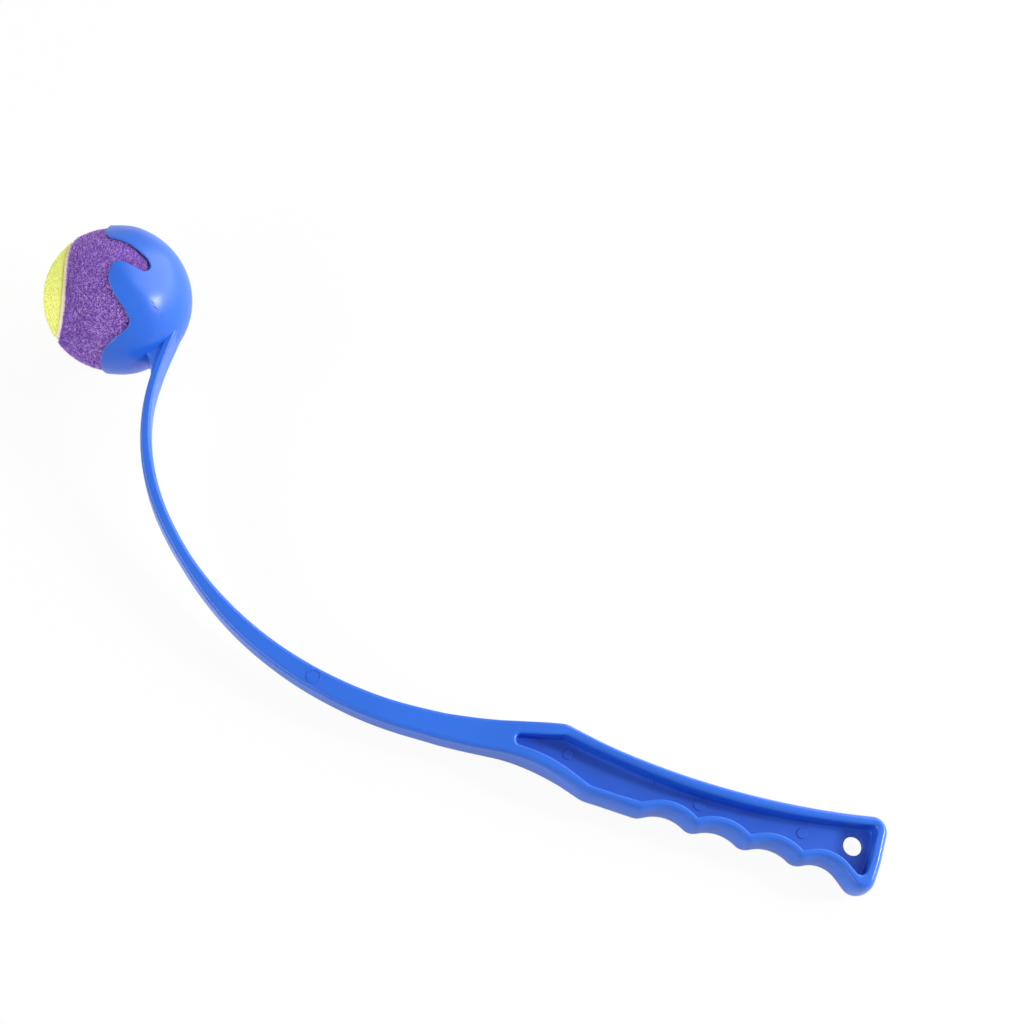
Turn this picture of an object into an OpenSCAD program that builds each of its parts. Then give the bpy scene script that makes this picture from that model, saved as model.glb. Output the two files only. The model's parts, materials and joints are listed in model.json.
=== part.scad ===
// Hand-held ball launcher with a two-colour felt ball in its cup.
// Millimetres. The launcher is laid out in its own flat plane: U runs along the handle towards the
// butt, V towards the cup and W across the moulding. laid() then sets it on its side on the ground.

/* [Ball] */
// Diameter over the felt
ball_d = 64; // [60:0.5:68]
// Thickness of the felt
felt_t = 3.2; // [2.4:0.1:4]
// Thickness of the glue film under the felt
glue_t = 0.1; // [0.05:0.05:0.3]
// Wall of the hollow rubber core
core_wall = 3.5; // [2.5:0.1:5]
// Thickness of the cement between the two core halves
cement_t = 0.6; // [0.3:0.1:1.2]
// Width of the seam between the felt panels
seam_w = 2.2; // [1.5:0.1:4]
// How far the seam lies below the felt
seam_dip = 0.7; // [0.2:0.1:1.5]
// Angle by which the seam is turned about U
seam_turn_u = 38; // [-180:1:180]
// Angle by which the seam is turned about V
seam_turn_v = 26; // [-180:1:180]
// Angle by which the seam is turned about W
seam_turn_w = -27; // [-180:1:180]
// Share of the threefold wave in the seam's line
seam_wave = 0.25; // [0.2:0.01:0.28]

/* [Cup] */
// Gap between the ball and the cup's wall
cup_gap = 0.6; // [0.5:0.05:0.9]
// Wall of the cup
cup_wall = 1.8; // [1.6:0.1:3]
// Angle by which the mouth of the cup dips below the line of the handle
mouth_dip = 15; // [0:1:30]
// How deep the middle of the neck runs inside the cup's round outline
neck_sink = 4; // [3.5:0.1:6]
// Height of the cup's centre above the end of the arm
neck_rise = 21; // [19:0.5:25]
// Length of neck moulded with the cup below the end of the arm
neck_tail = 12; // [8:0.5:20]
// Length of the neck past the end of the arm, to where it is lost in the cup
neck_run = 12.5; // [10:0.5:15]
// Thickness of the neck where it runs out into the cup
neck_flare = 5; // [3:0.1:7]
// Radius of the gusset between the neck and the cup
gusset_r = 6; // [4:0.5:9]
// How far the sides of the gusset lie inside the sides of the neck
gusset_step = 1; // [0.5:0.1:2]

/* [Cup rim] */
// Angle round the mouth from the middle of the top finger to its side
top_finger_half = 46; // [40:1:52]
// Angle from the mouth's axis to the edge of the top finger
top_finger_edge = 81.5; // [80:0.5:95]
// Angle round the mouth from the middle of the top finger to the upper notch
upper_notch_at = 79.5; // [74:0.5:84]
// Angle from the mouth's axis to the bottom of the upper notch
upper_notch_edge = 118.5; // [105:0.5:125]
// Angle round the mouth to the start of the side finger
side_finger_from = 89.5; // [87:0.5:93]
// Angle round the mouth to the end of the side finger
side_finger_to = 99; // [96:0.5:106]
// Angle from the mouth's axis to the edge of the side finger
side_finger_edge = 90; // [80:0.5:98]
// Angle round the mouth to the lower notch
lower_notch_at = 131; // [122:0.5:138]
// Angle from the mouth's axis to the bottom of the lower notch
lower_notch_edge = 107.5; // [100:0.5:115]
// Angle round the mouth to the start of the low finger
low_finger_from = 160; // [150:1:170]
// Angle from the mouth's axis to the edge of the low finger
low_finger_edge = 86.5; // [80:0.5:95]

/* [Arm] */
// Angle of the arm against the handle where they meet
arm_rise = 14.8; // [5:0.1:25]
// Radius of the arm's first arc, next to the handle
arc_1_r = 199; // [160:1:260]
// Angle swept by the first arc
arc_1_sweep = 31.6; // [24:0.1:38]
// Radius of the middle arc
arc_2_r = 154; // [120:1:190]
// Angle swept by the middle arc
arc_2_sweep = 29.7; // [22:0.1:36]
// Radius of the last arc, next to the cup
arc_3_r = 102; // [85:1:130]
// Angle swept by the last arc
arc_3_sweep = 43.4; // [34:0.1:52]
// Thickness of the arm in the throwing plane at the handle
arm_thick_root = 12.8; // [10:0.1:15]
// Thickness of the arm's stiff stretch
arm_thick_stiff = 9.3; // [7:0.1:11]
// Distance from the handle to the stiff stretch
arm_stiff_at = 55; // [40:1:75]
// Thickness of the arm's slim stretch
arm_thick_slim = 4.8; // [3.5:0.1:6.5]
// Distance from the handle to the slim stretch
arm_slim_at = 168; // [140:1:190]
// Distance from the handle to where the arm thins towards the neck
arm_thin_from = 214; // [200:1:225]
// Thickness of the neck
arm_thick_neck = 2.5; // [2:0.1:4]
// Depth of the arm across the moulding at the handle
arm_depth_root = 16; // [12:0.5:18]
// Depth of the arm across the moulding halfway
arm_depth_mid = 11.5; // [9:0.5:16]
// Depth of the arm across the moulding at the neck
arm_depth_neck = 16; // [12:0.5:18]
// Rounding of the arm's edges
arm_edge = 1.4; // [0.6:0.1:2]
// Length of arm moulded with the handle
root_len = 18; // [12:1:30]

/* [Handle] */
// Length from the start of the arm's arcs to the butt
handle_len = 165; // [158:1:180]
// Depth of the handle across the moulding
handle_depth = 20; // [18:0.5:26]
// Distance from the start of the arm's arcs to the hump
hump_at = 19.8; // [15:0.2:25]
// Height of the hump
hump_v = 12.7; // [11:0.1:14]
// Radius of the hump
hump_r = 8; // [6:0.5:10]
// Height of the corner under the palm's arc, halfway between the hump and the butt
palm_v = 2.4; // [0:0.1:4]
// Straight stretch left between the hump and the palm's arc
palm_straight = 8; // [6:0.5:30]
// Height of the butt's top corner
butt_top_v = 20.4; // [18:0.2:23]
// Radius of the butt's top corner
butt_r = 6; // [5:0.5:7]
// How far the butt's top corner stands out past the middle of the butt
butt_lean = 0.4; // [0:0.1:1.5]
// Radius of the butt's side
butt_side_r = 60; // [40:5:70]
// How far the toe stands in from the butt
toe_in = 2.8; // [2:0.1:8]
// Drop of the toe's corner below the arm's start
toe_drop = 16.8; // [14:0.1:19]
// Radius of the toe
toe_r = 5; // [4.5:0.1:5.5]
// Distance from the start of the arm's arcs to the crown of the guard's root
root_arch_at = 10; // [6:0.5:14]
// Drop of the crown of the guard's root
root_arch_drop = 6; // [5:0.1:7]
// Radius of the crown of the guard's root
root_arch_r = 75; // [50:1:80]
// Distance from the start of the arm's arcs to the guard
guard_at = 36; // [32:0.5:40]
// Drop of the guard's corner
guard_drop = 13.6; // [12:0.1:16]
// Radius of the guard
guard_r = 14; // [10:0.5:16]
// Distance from the last finger groove to the butt
groove_from_butt = 22.7; // [21:0.1:25]
// Drop of the first ridge's corner
ridge_drop = 12.7; // [11:0.1:14]
// Distance from one finger groove to the next
groove_pitch = 23.4; // [22:0.1:24]
// Rise of the grip's lower line from one groove to the next
groove_rise = 0.75; // [0:0.05:1.5]
// Height from a ridge's corner to the corner of the groove beside it
groove_depth = 5.5; // [4:0.1:7]
// Number of finger grooves
groove_count = 4; // [3:1:4]
// Radius at the foot of a finger groove
groove_r = 10; // [8:0.5:11]
// Radius at the crest of a ridge
ridge_r = 6; // [5.5:0.1:8]
// Width of the rim round the recess
rim_w = 4.4; // [4:0.1:5]
// Rounding of the rim's outer edge, measured in the plane
edge_in = 2.6; // [1.5:0.1:3]
// Rounding of the rim's outer edge, measured across the moulding
edge_deep = 4.5; // [2:0.1:6]
// Length over which the rim's rounding fades in before the hump and out past the guard
edge_fade = 9; // [5:1:12]
// Rounding of the rim's inner edge
lip_r = 0.8; // [0.4:0.1:1]
// How far the recess wall slopes in from its edge to its floor
recess_draft = 0.8; // [0.3:0.1:1.2]
// Distance from the end of the arm to the tip of the recess
recess_from = 19; // [17:0.5:24]
// Radius of the recess's tip
recess_tip_r = 1.8; // [1:0.1:2]
// Thickness of the web between the two recesses
web_t = 3; // [2:0.1:5]
// Diameter of the hanging hole
hole_d = 8.4; // [6:0.1:10]
// Distance from the hanging hole to the butt
hole_from_butt = 12.4; // [11:0.1:18]
// Height of the hanging hole
hole_v = 5.4; // [2:0.1:8]

/* [Hidden] */
$fn = 96;
moulding_colour = [0.16, 0.38, 0.86];
purple_felt_colour = [0.42, 0.22, 0.62];
yellow_felt_colour = [0.86, 0.95, 0.25];
seam_colour = [0.93, 0.92, 0.84];
rubber_colour = [0.20, 0.20, 0.21];
cement_colour = [0.60, 0.55, 0.45];

ball_r = ball_d/2;
core_r = ball_r - felt_t - glue_t;
core_bore_r = core_r - core_wall;
cup_bore_r = ball_r + cup_gap;
cup_r = cup_bore_r + cup_wall;

// Smooth step from 0 to 1 between two values
function ease(x, from, to) = (1 - cos(180*min(1, max(0, (x - from)/(to - from)))))/2;
function mix(a, b, t) = a + (b - a)*t;

// The arm's middle line. A heading is an angle in the plane, from U towards V, and the arm turns
// steadily to the right from the handle to the cup. The neck runs on along the last arc.
function along(heading) = [cos(heading), sin(heading)];
function left_of(heading) = [-sin(heading), cos(heading)];
function arc_length(r, sweep) = r*sweep*PI/180;
function arc_turn(r, length) = length/r*180/PI;
function arc_end(start, heading, r, turn) = start - r*left_of(heading) + r*left_of(heading - turn);
arc_1_len = arc_length(arc_1_r, arc_1_sweep);
arc_2_len = arc_length(arc_2_r, arc_2_sweep);
arc_3_len = arc_length(arc_3_r, arc_3_sweep);
arm_len = arc_1_len + arc_2_len + arc_3_len;
heading_1 = 180 + arm_rise;
heading_2 = heading_1 - arc_1_sweep;
heading_3 = heading_2 - arc_2_sweep;
heading_end = heading_3 - arc_3_sweep;
arc_2_start = arc_end([0, 0], heading_1, arc_1_r, arc_1_sweep);
arc_3_start = arc_end(arc_2_start, heading_2, arc_2_r, arc_2_sweep);
arm_end = arc_end(arc_3_start, heading_3, arc_3_r, arc_3_sweep);
function arm_heading(s) =
    s < arc_1_len ? heading_1 - arc_turn(arc_1_r, s)
    : s < arc_1_len + arc_2_len ? heading_2 - arc_turn(arc_2_r, s - arc_1_len)
    : heading_3 - arc_turn(arc_3_r, s - arc_1_len - arc_2_len);
function arm_point(s) =
    s < arc_1_len ? arc_end([0, 0], heading_1, arc_1_r, arc_turn(arc_1_r, s))
    : s < arc_1_len + arc_2_len ? arc_end(arc_2_start, heading_2, arc_2_r, arc_turn(arc_2_r, s - arc_1_len))
    : arc_end(arc_3_start, heading_3, arc_3_r, arc_turn(arc_3_r, s - arc_1_len - arc_2_len));

// The arm's section along its length
neck_from = arm_len - neck_tail;
neck_to = arm_len + neck_run;
function arm_thick(s) = lookup(s, [
    [0, arm_thick_root],
    [arm_stiff_at, arm_thick_stiff],
    [arm_slim_at, arm_thick_slim],
    [arm_thin_from, arm_thick_slim],
    [neck_from, arm_thick_neck],
    [arm_len, arm_thick_neck],
    [neck_to, neck_flare]]);
function arm_depth(s) = s < arm_len/2
    ? mix(arm_depth_root, arm_depth_mid, ease(s, 0, arm_len/2))
    : mix(arm_depth_mid, arm_depth_neck, ease(s, arm_len/2, neck_from));
function arm_edge_at(s) = min(arm_edge, 0.4*arm_thick(s));

// The cup stands on the left of the neck, and its mouth opens away from the handle
cup_centre = arm_end + neck_rise*along(heading_end) + (cup_r - neck_sink)*left_of(heading_end);
mouth_heading = 180 + mouth_dip;

// A corner of a rounded outline is [u, v, radius]. The outline runs clockwise, so a corner that
// turns right is an outer one. An inset moves each side inwards and keeps the arcs concentric.
function turn_at(a, b, c) = let (p = b - a, q = c - b) atan2(p[0]*q[1] - p[1]*q[0], p*q);
function unit(p) = p/norm(p);
function flat(p) = [p[0], p[1]];
function side_normal(a, b) = let (d = unit(b - a)) [d[1], -d[0]];
function corner_inset(a, b, c, before, after) =
    let (m = side_normal(a, b), n = side_normal(b, c), det = m[0]*n[1] - m[1]*n[0])
    b + [before*n[1] - after*m[1], after*m[0] - before*n[0]]/det;
function corner_arc(a, b, c, r, steps, share = 1) =
    let (turn = turn_at(a, b, c), d = unit(b - a), reach = r*tan(abs(turn)/2), start = b - reach*d)
    let (inward = (turn < 0 ? 1 : -1)*[d[1], -d[0]], centre = start + r*inward)
    [for (k = [0:steps]) let (w = share*turn*k/steps, x = -inward)
        centre + r*[x[0]*cos(w) - x[1]*sin(w), x[0]*sin(w) + x[1]*cos(w)]];

// Corners of the handle's outline, clockwise from the top of the joint with the arm
joint_top = arm_point(root_len) - arm_thick(root_len)/2*left_of(arm_heading(root_len));
joint_bottom = arm_point(root_len) + arm_thick(root_len)/2*left_of(arm_heading(root_len));
ridge_at = handle_len - groove_from_butt - (groove_count - 0.5)*groove_pitch;
palm_at = (hump_at + handle_len)/2;
palm_turn = turn_at([hump_at, hump_v], [palm_at, palm_v], [handle_len, butt_top_v]);
palm_r = (norm([palm_at - hump_at, palm_v - hump_v]) - palm_straight)/tan(abs(palm_turn)/2);
function ridge(k) = [ridge_at + k*groove_pitch, -ridge_drop + k*groove_rise, ridge_r];
function groove(k) = [ridge_at + (k + 0.5)*groove_pitch,
    -ridge_drop + (k + 0.5)*groove_rise + groove_depth, groove_r];
handle_corners = concat(
    [[joint_top[0], joint_top[1], 0]],
    [[hump_at, hump_v, hump_r], [palm_at, palm_v, palm_r]],
    [[handle_len, butt_top_v, butt_r], [handle_len - butt_lean, 0, butt_side_r]],
    [[handle_len - toe_in, -toe_drop, toe_r]],
    [for (k = [groove_count - 1:-1:0], c = [groove(k), ridge(k)]) c],
    [[guard_at, -guard_drop, guard_r], [root_arch_at, -root_arch_drop, root_arch_r]],
    [[joint_bottom[0], joint_bottom[1], 0]]);
corner_count = len(handle_corners);
crown = corner_count - 2;

// Points along each corner's arc: one for every 11 degrees of turn or 8 mm of arc
function corner_at(k) = flat(handle_corners[(k + corner_count) % corner_count]);
function corner_steps(k) =
    let (turn = abs(turn_at(corner_at(k - 1), corner_at(k), corner_at(k + 1))))
    max(2, ceil(max(turn/11, arc_length(handle_corners[k][2], turn)/8)));

// The recess ends on the crown of the guard's root: the share of that arc along the recess, and the
// lower corner of the recess's tip, where the arc's end meets the line of the tip
root_heading = arm_heading(root_len) - 180;
tip_room = 1.25*recess_tip_r;
function crown_share(inset, setback) =
    let (a = corner_at(crown - 1), b = corner_at(crown), c = corner_at(crown + 1), turn = turn_at(a, b, c))
    let (from = side_normal(a, b), middle = unit(from + side_normal(b, c)))
    let (centre = b - root_arch_r/cos(turn/2)*middle)
    let (end_at = setback + tip_room - (centre - arm_point(root_len))*along(root_heading))
    min(1, (root_heading + acos(end_at/(root_arch_r + inset)) - atan2(from[1], from[0]))/turn);
function meet_end(arc, tip) =
    let (end = arc[len(arc) - 1], way = unit(end - arc[len(arc) - 2]), root = along(root_heading))
    end + ((tip - end)*root)/(way*root)*way;

// The handle's outline with its sides moved in, and its end at the arm moved in by setback
function inset_of(k, inset, setback) =
    (k + corner_count) % corner_count == corner_count - 1 ? setback : inset;
function inset_corner(k, inset, setback) = corner_inset(corner_at(k - 1), corner_at(k), corner_at(k + 1),
    inset_of(k - 1, inset, setback), inset_of(k, inset, setback));
function inset_radius(k, inset) =
    turn_at(corner_at(k - 1), corner_at(k), corner_at(k + 1)) < 0
    ? max(handle_corners[k][2] - inset, 0.3)
    : handle_corners[k][2] + inset;
function rounded_corner(c, k, inset, share = 1) =
    corner_arc(c[k - 1], c[k], c[k + 1], inset_radius(k, inset), corner_steps(k), share);
function outline(inset, setback) =
    let (c = [for (k = [0:corner_count - 1]) inset_corner(k, inset, setback)])
    let (crown_arc = rounded_corner(c, crown, inset, setback > 0 ? crown_share(inset, setback) : 1))
    let (low_tip = setback > 0 ? meet_end(crown_arc, c[0]) : c[crown + 1])
    let (first_end = setback > 0
        ? corner_arc(low_tip, c[0], c[1], recess_tip_r, 2)
        : [for (t = [0.3, 0.15, 0]) mix(c[0], low_tip, t)])
    let (last_end = setback > 0
        ? corner_arc(crown_arc[len(crown_arc) - 1], low_tip, c[0], recess_tip_r, 2)
        : [for (t = [0, 0.15, 0.3]) mix(low_tip, c[0], t)])
    concat(first_end,
        [for (k = [1:crown - 1]) each rounded_corner(c, k, inset)],
        crown_arc,
        last_end);

// Half depth of the handle, which grows out of the arm's depth as far as the hump, and how full the
// rounding of its outer edge is: crisp along the root, full from the guard on
function half_depth(p) = mix(arm_depth(root_len), handle_depth, ease(p[0], -root_len, hump_at))/2;
function fullness(p) = ease(p[0], hump_at - edge_fade, guard_at + edge_fade);
function edge_in_at(p) = mix(arm_edge_at(root_len), edge_in, fullness(p));
function edge_deep_at(p) = mix(arm_edge_at(root_len), edge_deep, fullness(p));

// Rest pose: the cup's side and the lower edge of the handle touch the ground. A point's height is
// v*sin(tilt) + w*cos(tilt), and the handle's edge is a quarter of an ellipse.
handle_outline = outline(0, 0);
handle_low_v = min([for (p = handle_outline) p[1]]);
function cup_low(tilt) = cup_centre[1]*sin(tilt) - cup_r;
function handle_low(tilt) = (handle_low_v + edge_in)*sin(tilt) - (handle_depth/2 - edge_deep)*cos(tilt)
    - norm([edge_in*sin(tilt), edge_deep*cos(tilt)]);
function solve_tilt(low, high, tries) =
    let (middle = (low + high)/2)
    tries == 0 ? middle
    : cup_low(middle) < handle_low(middle) ? solve_tilt(middle, high, tries - 1)
    : solve_tilt(low, middle, tries - 1);
rest_tilt = solve_tilt(0, 40, 30);
handle_far_u = max([for (p = handle_outline) p[0]]);
mid_x = (handle_far_u + cup_centre[0] - ball_r)/2;
top_y = cup_centre[1]*cos(rest_tilt) + cup_r;
low_y = (handle_low_v + edge_in)*cos(rest_tilt) - (handle_depth/2 - edge_deep)*sin(rest_tilt)
    - norm([edge_in*cos(rest_tilt), edge_deep*sin(rest_tilt)]);

// From the launcher's plane to the ground it lies on, with the origin under the middle
module laid() {
    translate([-mid_x, -(top_y + low_y)/2, -cup_low(rest_tilt)])
        rotate([rest_tilt, 0, 0])
            children();
}

// Triangles that close rings of equal length into one skin, with a flat face at each end
function ring_skin(rings, count) = concat(
    [[for (i = [0:count - 1]) i]],
    [for (j = [0:rings - 2], i = [0:count - 1]) let (a = j*count, n = (i + 1) % count)
        each [[a + i, a + count + i, a + count + n], [a + i, a + count + n, a + n]]],
    [[for (i = [count - 1:-1:0]) (rings - 1)*count + i]]);

// A rounded section of the arm at distance s, as points in space
edge_steps = 3;
function section(s) =
    let (e = arm_edge_at(s), a = arm_thick(s)/2 - e, b = arm_depth(s)/2 - e, at = arm_point(s))
    let (side = left_of(arm_heading(s)))
    [for (q = [0:3], k = [0:edge_steps]) let (w = 90*(q + k/edge_steps))
        let (x = (q == 0 || q == 3 ? a : -a) + e*cos(w), z = (q < 2 ? b : -b) + e*sin(w))
        [at[0] + x*side[0], at[1] + x*side[1], z]];
module arm_stretch(from, to, stations) {
    rings = [for (k = [0:stations]) section(mix(from, to, k/stations))];
    count = len(rings[0]);
    polyhedron([for (r = rings) each r], ring_skin(len(rings), count));
}

// A cone from the origin through a closed line of directions [round, from the Z axis], out to reach
module star_cone(line, reach) {
    count = len(line);
    shares = [1, 2/3, 1/3];
    rings = [for (f = shares, d = line) reach*[sin(f*d[1])*cos(d[0]), sin(f*d[1])*sin(d[0]), cos(f*d[1])]];
    last = len(rings);
    apex = last;
    tip = last + 1;
    skin = [for (j = [0:len(shares) - 2], i = [0:count - 1]) let (a = j*count, n = (i + 1) % count)
        each [[a + i, a + count + i, a + count + n], [a + i, a + count + n, a + n]]];
    polyhedron(
        concat(rings, [[0, 0, 0], [0, 0, reach]]),
        concat(skin,
            [for (i = [0:count - 1]) [apex, i, (i + 1) % count]],
            [for (i = [0:count - 1]) [last - count + i, tip, last - count + (i + 1) % count]]));
}

// Edge of the cup: fingers and notches joined by smooth flanks, the same on both sides of the plane
half_rim = [
    [top_finger_half, top_finger_edge],
    [upper_notch_at, upper_notch_edge],
    [side_finger_from, side_finger_edge],
    [side_finger_to, side_finger_edge],
    [lower_notch_at, lower_notch_edge],
    [low_finger_from, low_finger_edge]];
flank_steps = 7;
half_rim_line = concat(
    [for (k = [0:3]) [top_finger_half*k/4, top_finger_edge]],
    [for (j = [0:len(half_rim) - 2], k = [0:flank_steps - 1])
        let (a = half_rim[j], b = half_rim[j + 1], t = k/flank_steps)
        [mix(a[0], b[0], t), mix(a[1], b[1], ease(t, 0, 1))]],
    [for (k = [0:1]) [mix(low_finger_from, 180, k/2), low_finger_edge]]);
rim_line = concat(half_rim_line, [[180, low_finger_edge]],
    [for (k = [len(half_rim_line) - 1:-1:1]) [360 - half_rim_line[k][0], half_rim_line[k][1]]]);

// Local frame at the cup's centre: Z out of the mouth, X towards the top finger
module at_mouth() {
    translate([cup_centre[0], cup_centre[1], 0])
        rotate([0, 0, mouth_heading])
            multmatrix([[0, 0, 1, 0], [-1, 0, 0, 0], [0, -1, 0, 0], [0, 0, 0, 1]])
                children();
}

// The web in the corner between the neck and the cup, with a round free edge
gusset_from = arm_len - neck_tail/2;
module gusset() {
    foot = arm_point(gusset_from);
    corner = arm_point(neck_to);
    left = left_of(heading_end);
    shoulder = foot + (gusset_r + cup_wall)*left + gusset_r/2*along(heading_end);
    depth = arm_depth_neck - 2*gusset_step;
    translate([0, 0, -depth/2])
        linear_extrude(depth)
            difference() {
                polygon([foot, corner, corner + cup_r/2*left, shoulder]);
                translate(foot + (arm_thick_neck/2 + gusset_r)*left - gusset_r/3*along(heading_end))
                    circle(gusset_r);
            }
}

module cup() {
    color(moulding_colour) laid() difference() {
        union() {
            at_mouth() sphere(cup_r);
            arm_stretch(neck_from, neck_to, 8);
            gusset();
        }
        at_mouth() sphere(cup_bore_r);
        at_mouth() star_cone(rim_line, 2*cup_r);
    }
}

module arm() {
    color(moulding_colour) laid() arm_stretch(root_len, neck_from, 40);
}

// The handle's skin runs from the floor of one recess over the rim and back to the other floor
module handle() {
    outer = handle_outline;
    shoulder = outline(edge_in, 0);
    lip_start = outline(rim_w - lip_r, recess_from - lip_r);
    lip_end = outline(rim_w, recess_from);
    floor_edge = outline(rim_w + recess_draft, recess_from + recess_draft);
    count = len(outer);
    points = [0:count - 1];
    function edge_ring(w) = [for (i = points)
        let (p = mix(outer[i], shoulder[i], (1 - cos(w))*edge_in_at(outer[i])/edge_in))
        [p[0], p[1], half_depth(outer[i]) - edge_deep_at(outer[i])*(1 - sin(w))]];
    function lip_ring(w) = [for (i = points)
        let (p = mix(lip_start[i], lip_end[i], sin(w)))
        [p[0], p[1], half_depth(lip_end[i]) - lip_r*(1 - cos(w))]];
    near = concat(
        [[for (p = floor_edge) [p[0], p[1], web_t/2]]],
        [for (w = [90, 45, 0]) lip_ring(w)],
        [for (w = [90, 70, 50, 25, 0]) edge_ring(w)]);
    far = [for (j = [len(near) - 1:-1:0]) [for (p = near[j]) [p[0], p[1], -p[2]]]];
    rings = concat(near, far);
    color(moulding_colour) laid() difference() {
        polyhedron([for (r = rings) each r], ring_skin(len(rings), count));
        translate([handle_len - hole_from_butt, hole_v, -handle_depth])
            cylinder(h = 2*handle_depth, d = hole_d);
    }
}

// The ball's own frame: at the cup's centre, turned so that the seam lies as it does in use
module at_ball() {
    laid()
        translate([cup_centre[0], cup_centre[1], 0])
            rotate([seam_turn_u, seam_turn_v, seam_turn_w])
                children();
}
module hollow_ball(r, bore_r) {
    difference() {
        sphere(r);
        sphere(bore_r);
    }
}

// The two felt panels meet along a wave that goes round the ball: the unit sphere's curve below
seam_a = 1 - seam_wave;
seam_b = seam_wave;
seam_points = 96;
function seam(t) = [seam_a*cos(t) + seam_b*cos(3*t), seam_a*sin(t) - seam_b*sin(3*t),
    2*sqrt(seam_a*seam_b)*sin(2*t)];
function seam_heading(t) = unit([-seam_a*sin(t) - 3*seam_b*sin(3*t), seam_a*cos(t) - 3*seam_b*cos(3*t),
    4*sqrt(seam_a*seam_b)*cos(2*t)]);
seam_half = seam_w/2/ball_r*180/PI;
function panel_edge(t) = cos(seam_half)*seam(t) + sin(seam_half)*cross(seam(t), seam_heading(t));
panel_line = [for (k = [0:seam_points - 1]) let (p = panel_edge(360*k/seam_points))
    [atan2(p[1], p[0]), acos(p[2])]];
module panel_cone() {
    star_cone(panel_line, 2*ball_r);
}
module felt_panel() {
    intersection() {
        hollow_ball(ball_r, core_r + glue_t);
        panel_cone();
    }
}

module felt_purple() {
    color(purple_felt_colour) at_ball() felt_panel();
}

module felt_yellow() {
    color(yellow_felt_colour) at_ball() rotate([0, 180, 0]) felt_panel();
}

module seam_bead() {
    color(seam_colour) at_ball() difference() {
        hollow_ball(ball_r - seam_dip, core_r + glue_t);
        panel_cone();
        rotate([0, 180, 0]) panel_cone();
    }
}

// One half of the hollow rubber core, cut back by half of the cement
module core_half() {
    intersection() {
        hollow_ball(core_r, core_bore_r);
        translate([-ball_d, -ball_d, cement_t/2]) cube(2*ball_d);
    }
}

module core_upper() {
    color(rubber_colour) at_ball() core_half();
}

module core_lower() {
    color(rubber_colour) at_ball() rotate([180, 0, 0]) core_half();
}

module core_cement() {
    color(cement_colour) at_ball() intersection() {
        hollow_ball(core_r, core_bore_r);
        translate([-ball_d, -ball_d, -cement_t/2]) cube([2*ball_d, 2*ball_d, cement_t]);
    }
}

cup();
arm();
handle();
core_upper();
core_lower();
core_cement();
felt_purple();
felt_yellow();
seam_bead();
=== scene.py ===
# %% [markdown]
# # A ball launcher and its felt ball
# The launcher is one blue injection moulding: a thin cup that grips a ball, a long springy arm and a
# recessed grip with four finger grooves. The ball is a hollow rubber core under two panels of felt.
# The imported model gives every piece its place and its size. This lesson makes what the eye sees: the
# smooth skin of the moulding with its lips, pin marks and scuffs, and felt with a real nap.

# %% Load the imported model
import json
import math
from collections import namedtuple

import bmesh
import bpy
import numpy as np
from mathutils import Matrix, Vector, noise
from mathutils.geometry import delaunay_2d_cdt


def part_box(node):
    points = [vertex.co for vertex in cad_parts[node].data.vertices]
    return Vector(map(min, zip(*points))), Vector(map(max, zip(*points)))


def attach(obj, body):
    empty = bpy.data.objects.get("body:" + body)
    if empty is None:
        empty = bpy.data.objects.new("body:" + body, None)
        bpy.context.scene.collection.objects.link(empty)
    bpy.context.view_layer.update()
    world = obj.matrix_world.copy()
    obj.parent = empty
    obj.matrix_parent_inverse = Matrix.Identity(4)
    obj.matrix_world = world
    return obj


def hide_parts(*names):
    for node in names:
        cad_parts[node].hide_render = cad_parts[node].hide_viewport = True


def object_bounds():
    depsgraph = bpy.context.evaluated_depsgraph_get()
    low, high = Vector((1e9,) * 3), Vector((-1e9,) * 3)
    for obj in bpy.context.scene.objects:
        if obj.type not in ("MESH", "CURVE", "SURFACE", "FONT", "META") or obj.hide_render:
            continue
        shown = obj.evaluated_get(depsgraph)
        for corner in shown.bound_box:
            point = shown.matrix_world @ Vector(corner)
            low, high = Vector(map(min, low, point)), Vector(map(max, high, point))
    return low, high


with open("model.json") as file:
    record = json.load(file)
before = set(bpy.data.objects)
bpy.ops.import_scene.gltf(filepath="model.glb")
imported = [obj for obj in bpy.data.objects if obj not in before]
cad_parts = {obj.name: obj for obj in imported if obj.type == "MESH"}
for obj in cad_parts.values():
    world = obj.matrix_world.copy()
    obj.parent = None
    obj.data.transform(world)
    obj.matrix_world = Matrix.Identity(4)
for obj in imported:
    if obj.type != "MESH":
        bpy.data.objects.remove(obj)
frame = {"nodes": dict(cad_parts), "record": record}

cad_low, cad_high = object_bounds()
scene = bpy.context.scene
scene.view_settings.view_transform = "Standard"
cad_sides = Vector(cad_high) - Vector(cad_low)
print("CAD box in millimetres:", [round(1000 * side, 1) for side in cad_sides])

# %% [markdown]
# ## The line of the arm
# The launcher is easiest to draw flat, in its own plane: u runs along the handle to the butt, v
# towards the cup and w across the moulding, all in millimetres. The middle line of the arm is three
# arcs that tighten towards the cup. A spline would do as well, but arcs keep the bend even, so that
# light runs along the arm without a wobble.

# %% Arm line
arm_rise = 14.8
arm_arcs = ((199, 31.6), (154, 29.7), (102, 43.4))
arm_len = sum(radius * math.radians(sweep) for radius, sweep in arm_arcs)


def along(heading):
    """Way of a heading in degrees."""
    return np.array([math.cos(math.radians(heading)), math.sin(math.radians(heading))])


def left_of(heading):
    """Way to the left of a heading."""
    return along(heading + 90)


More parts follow.
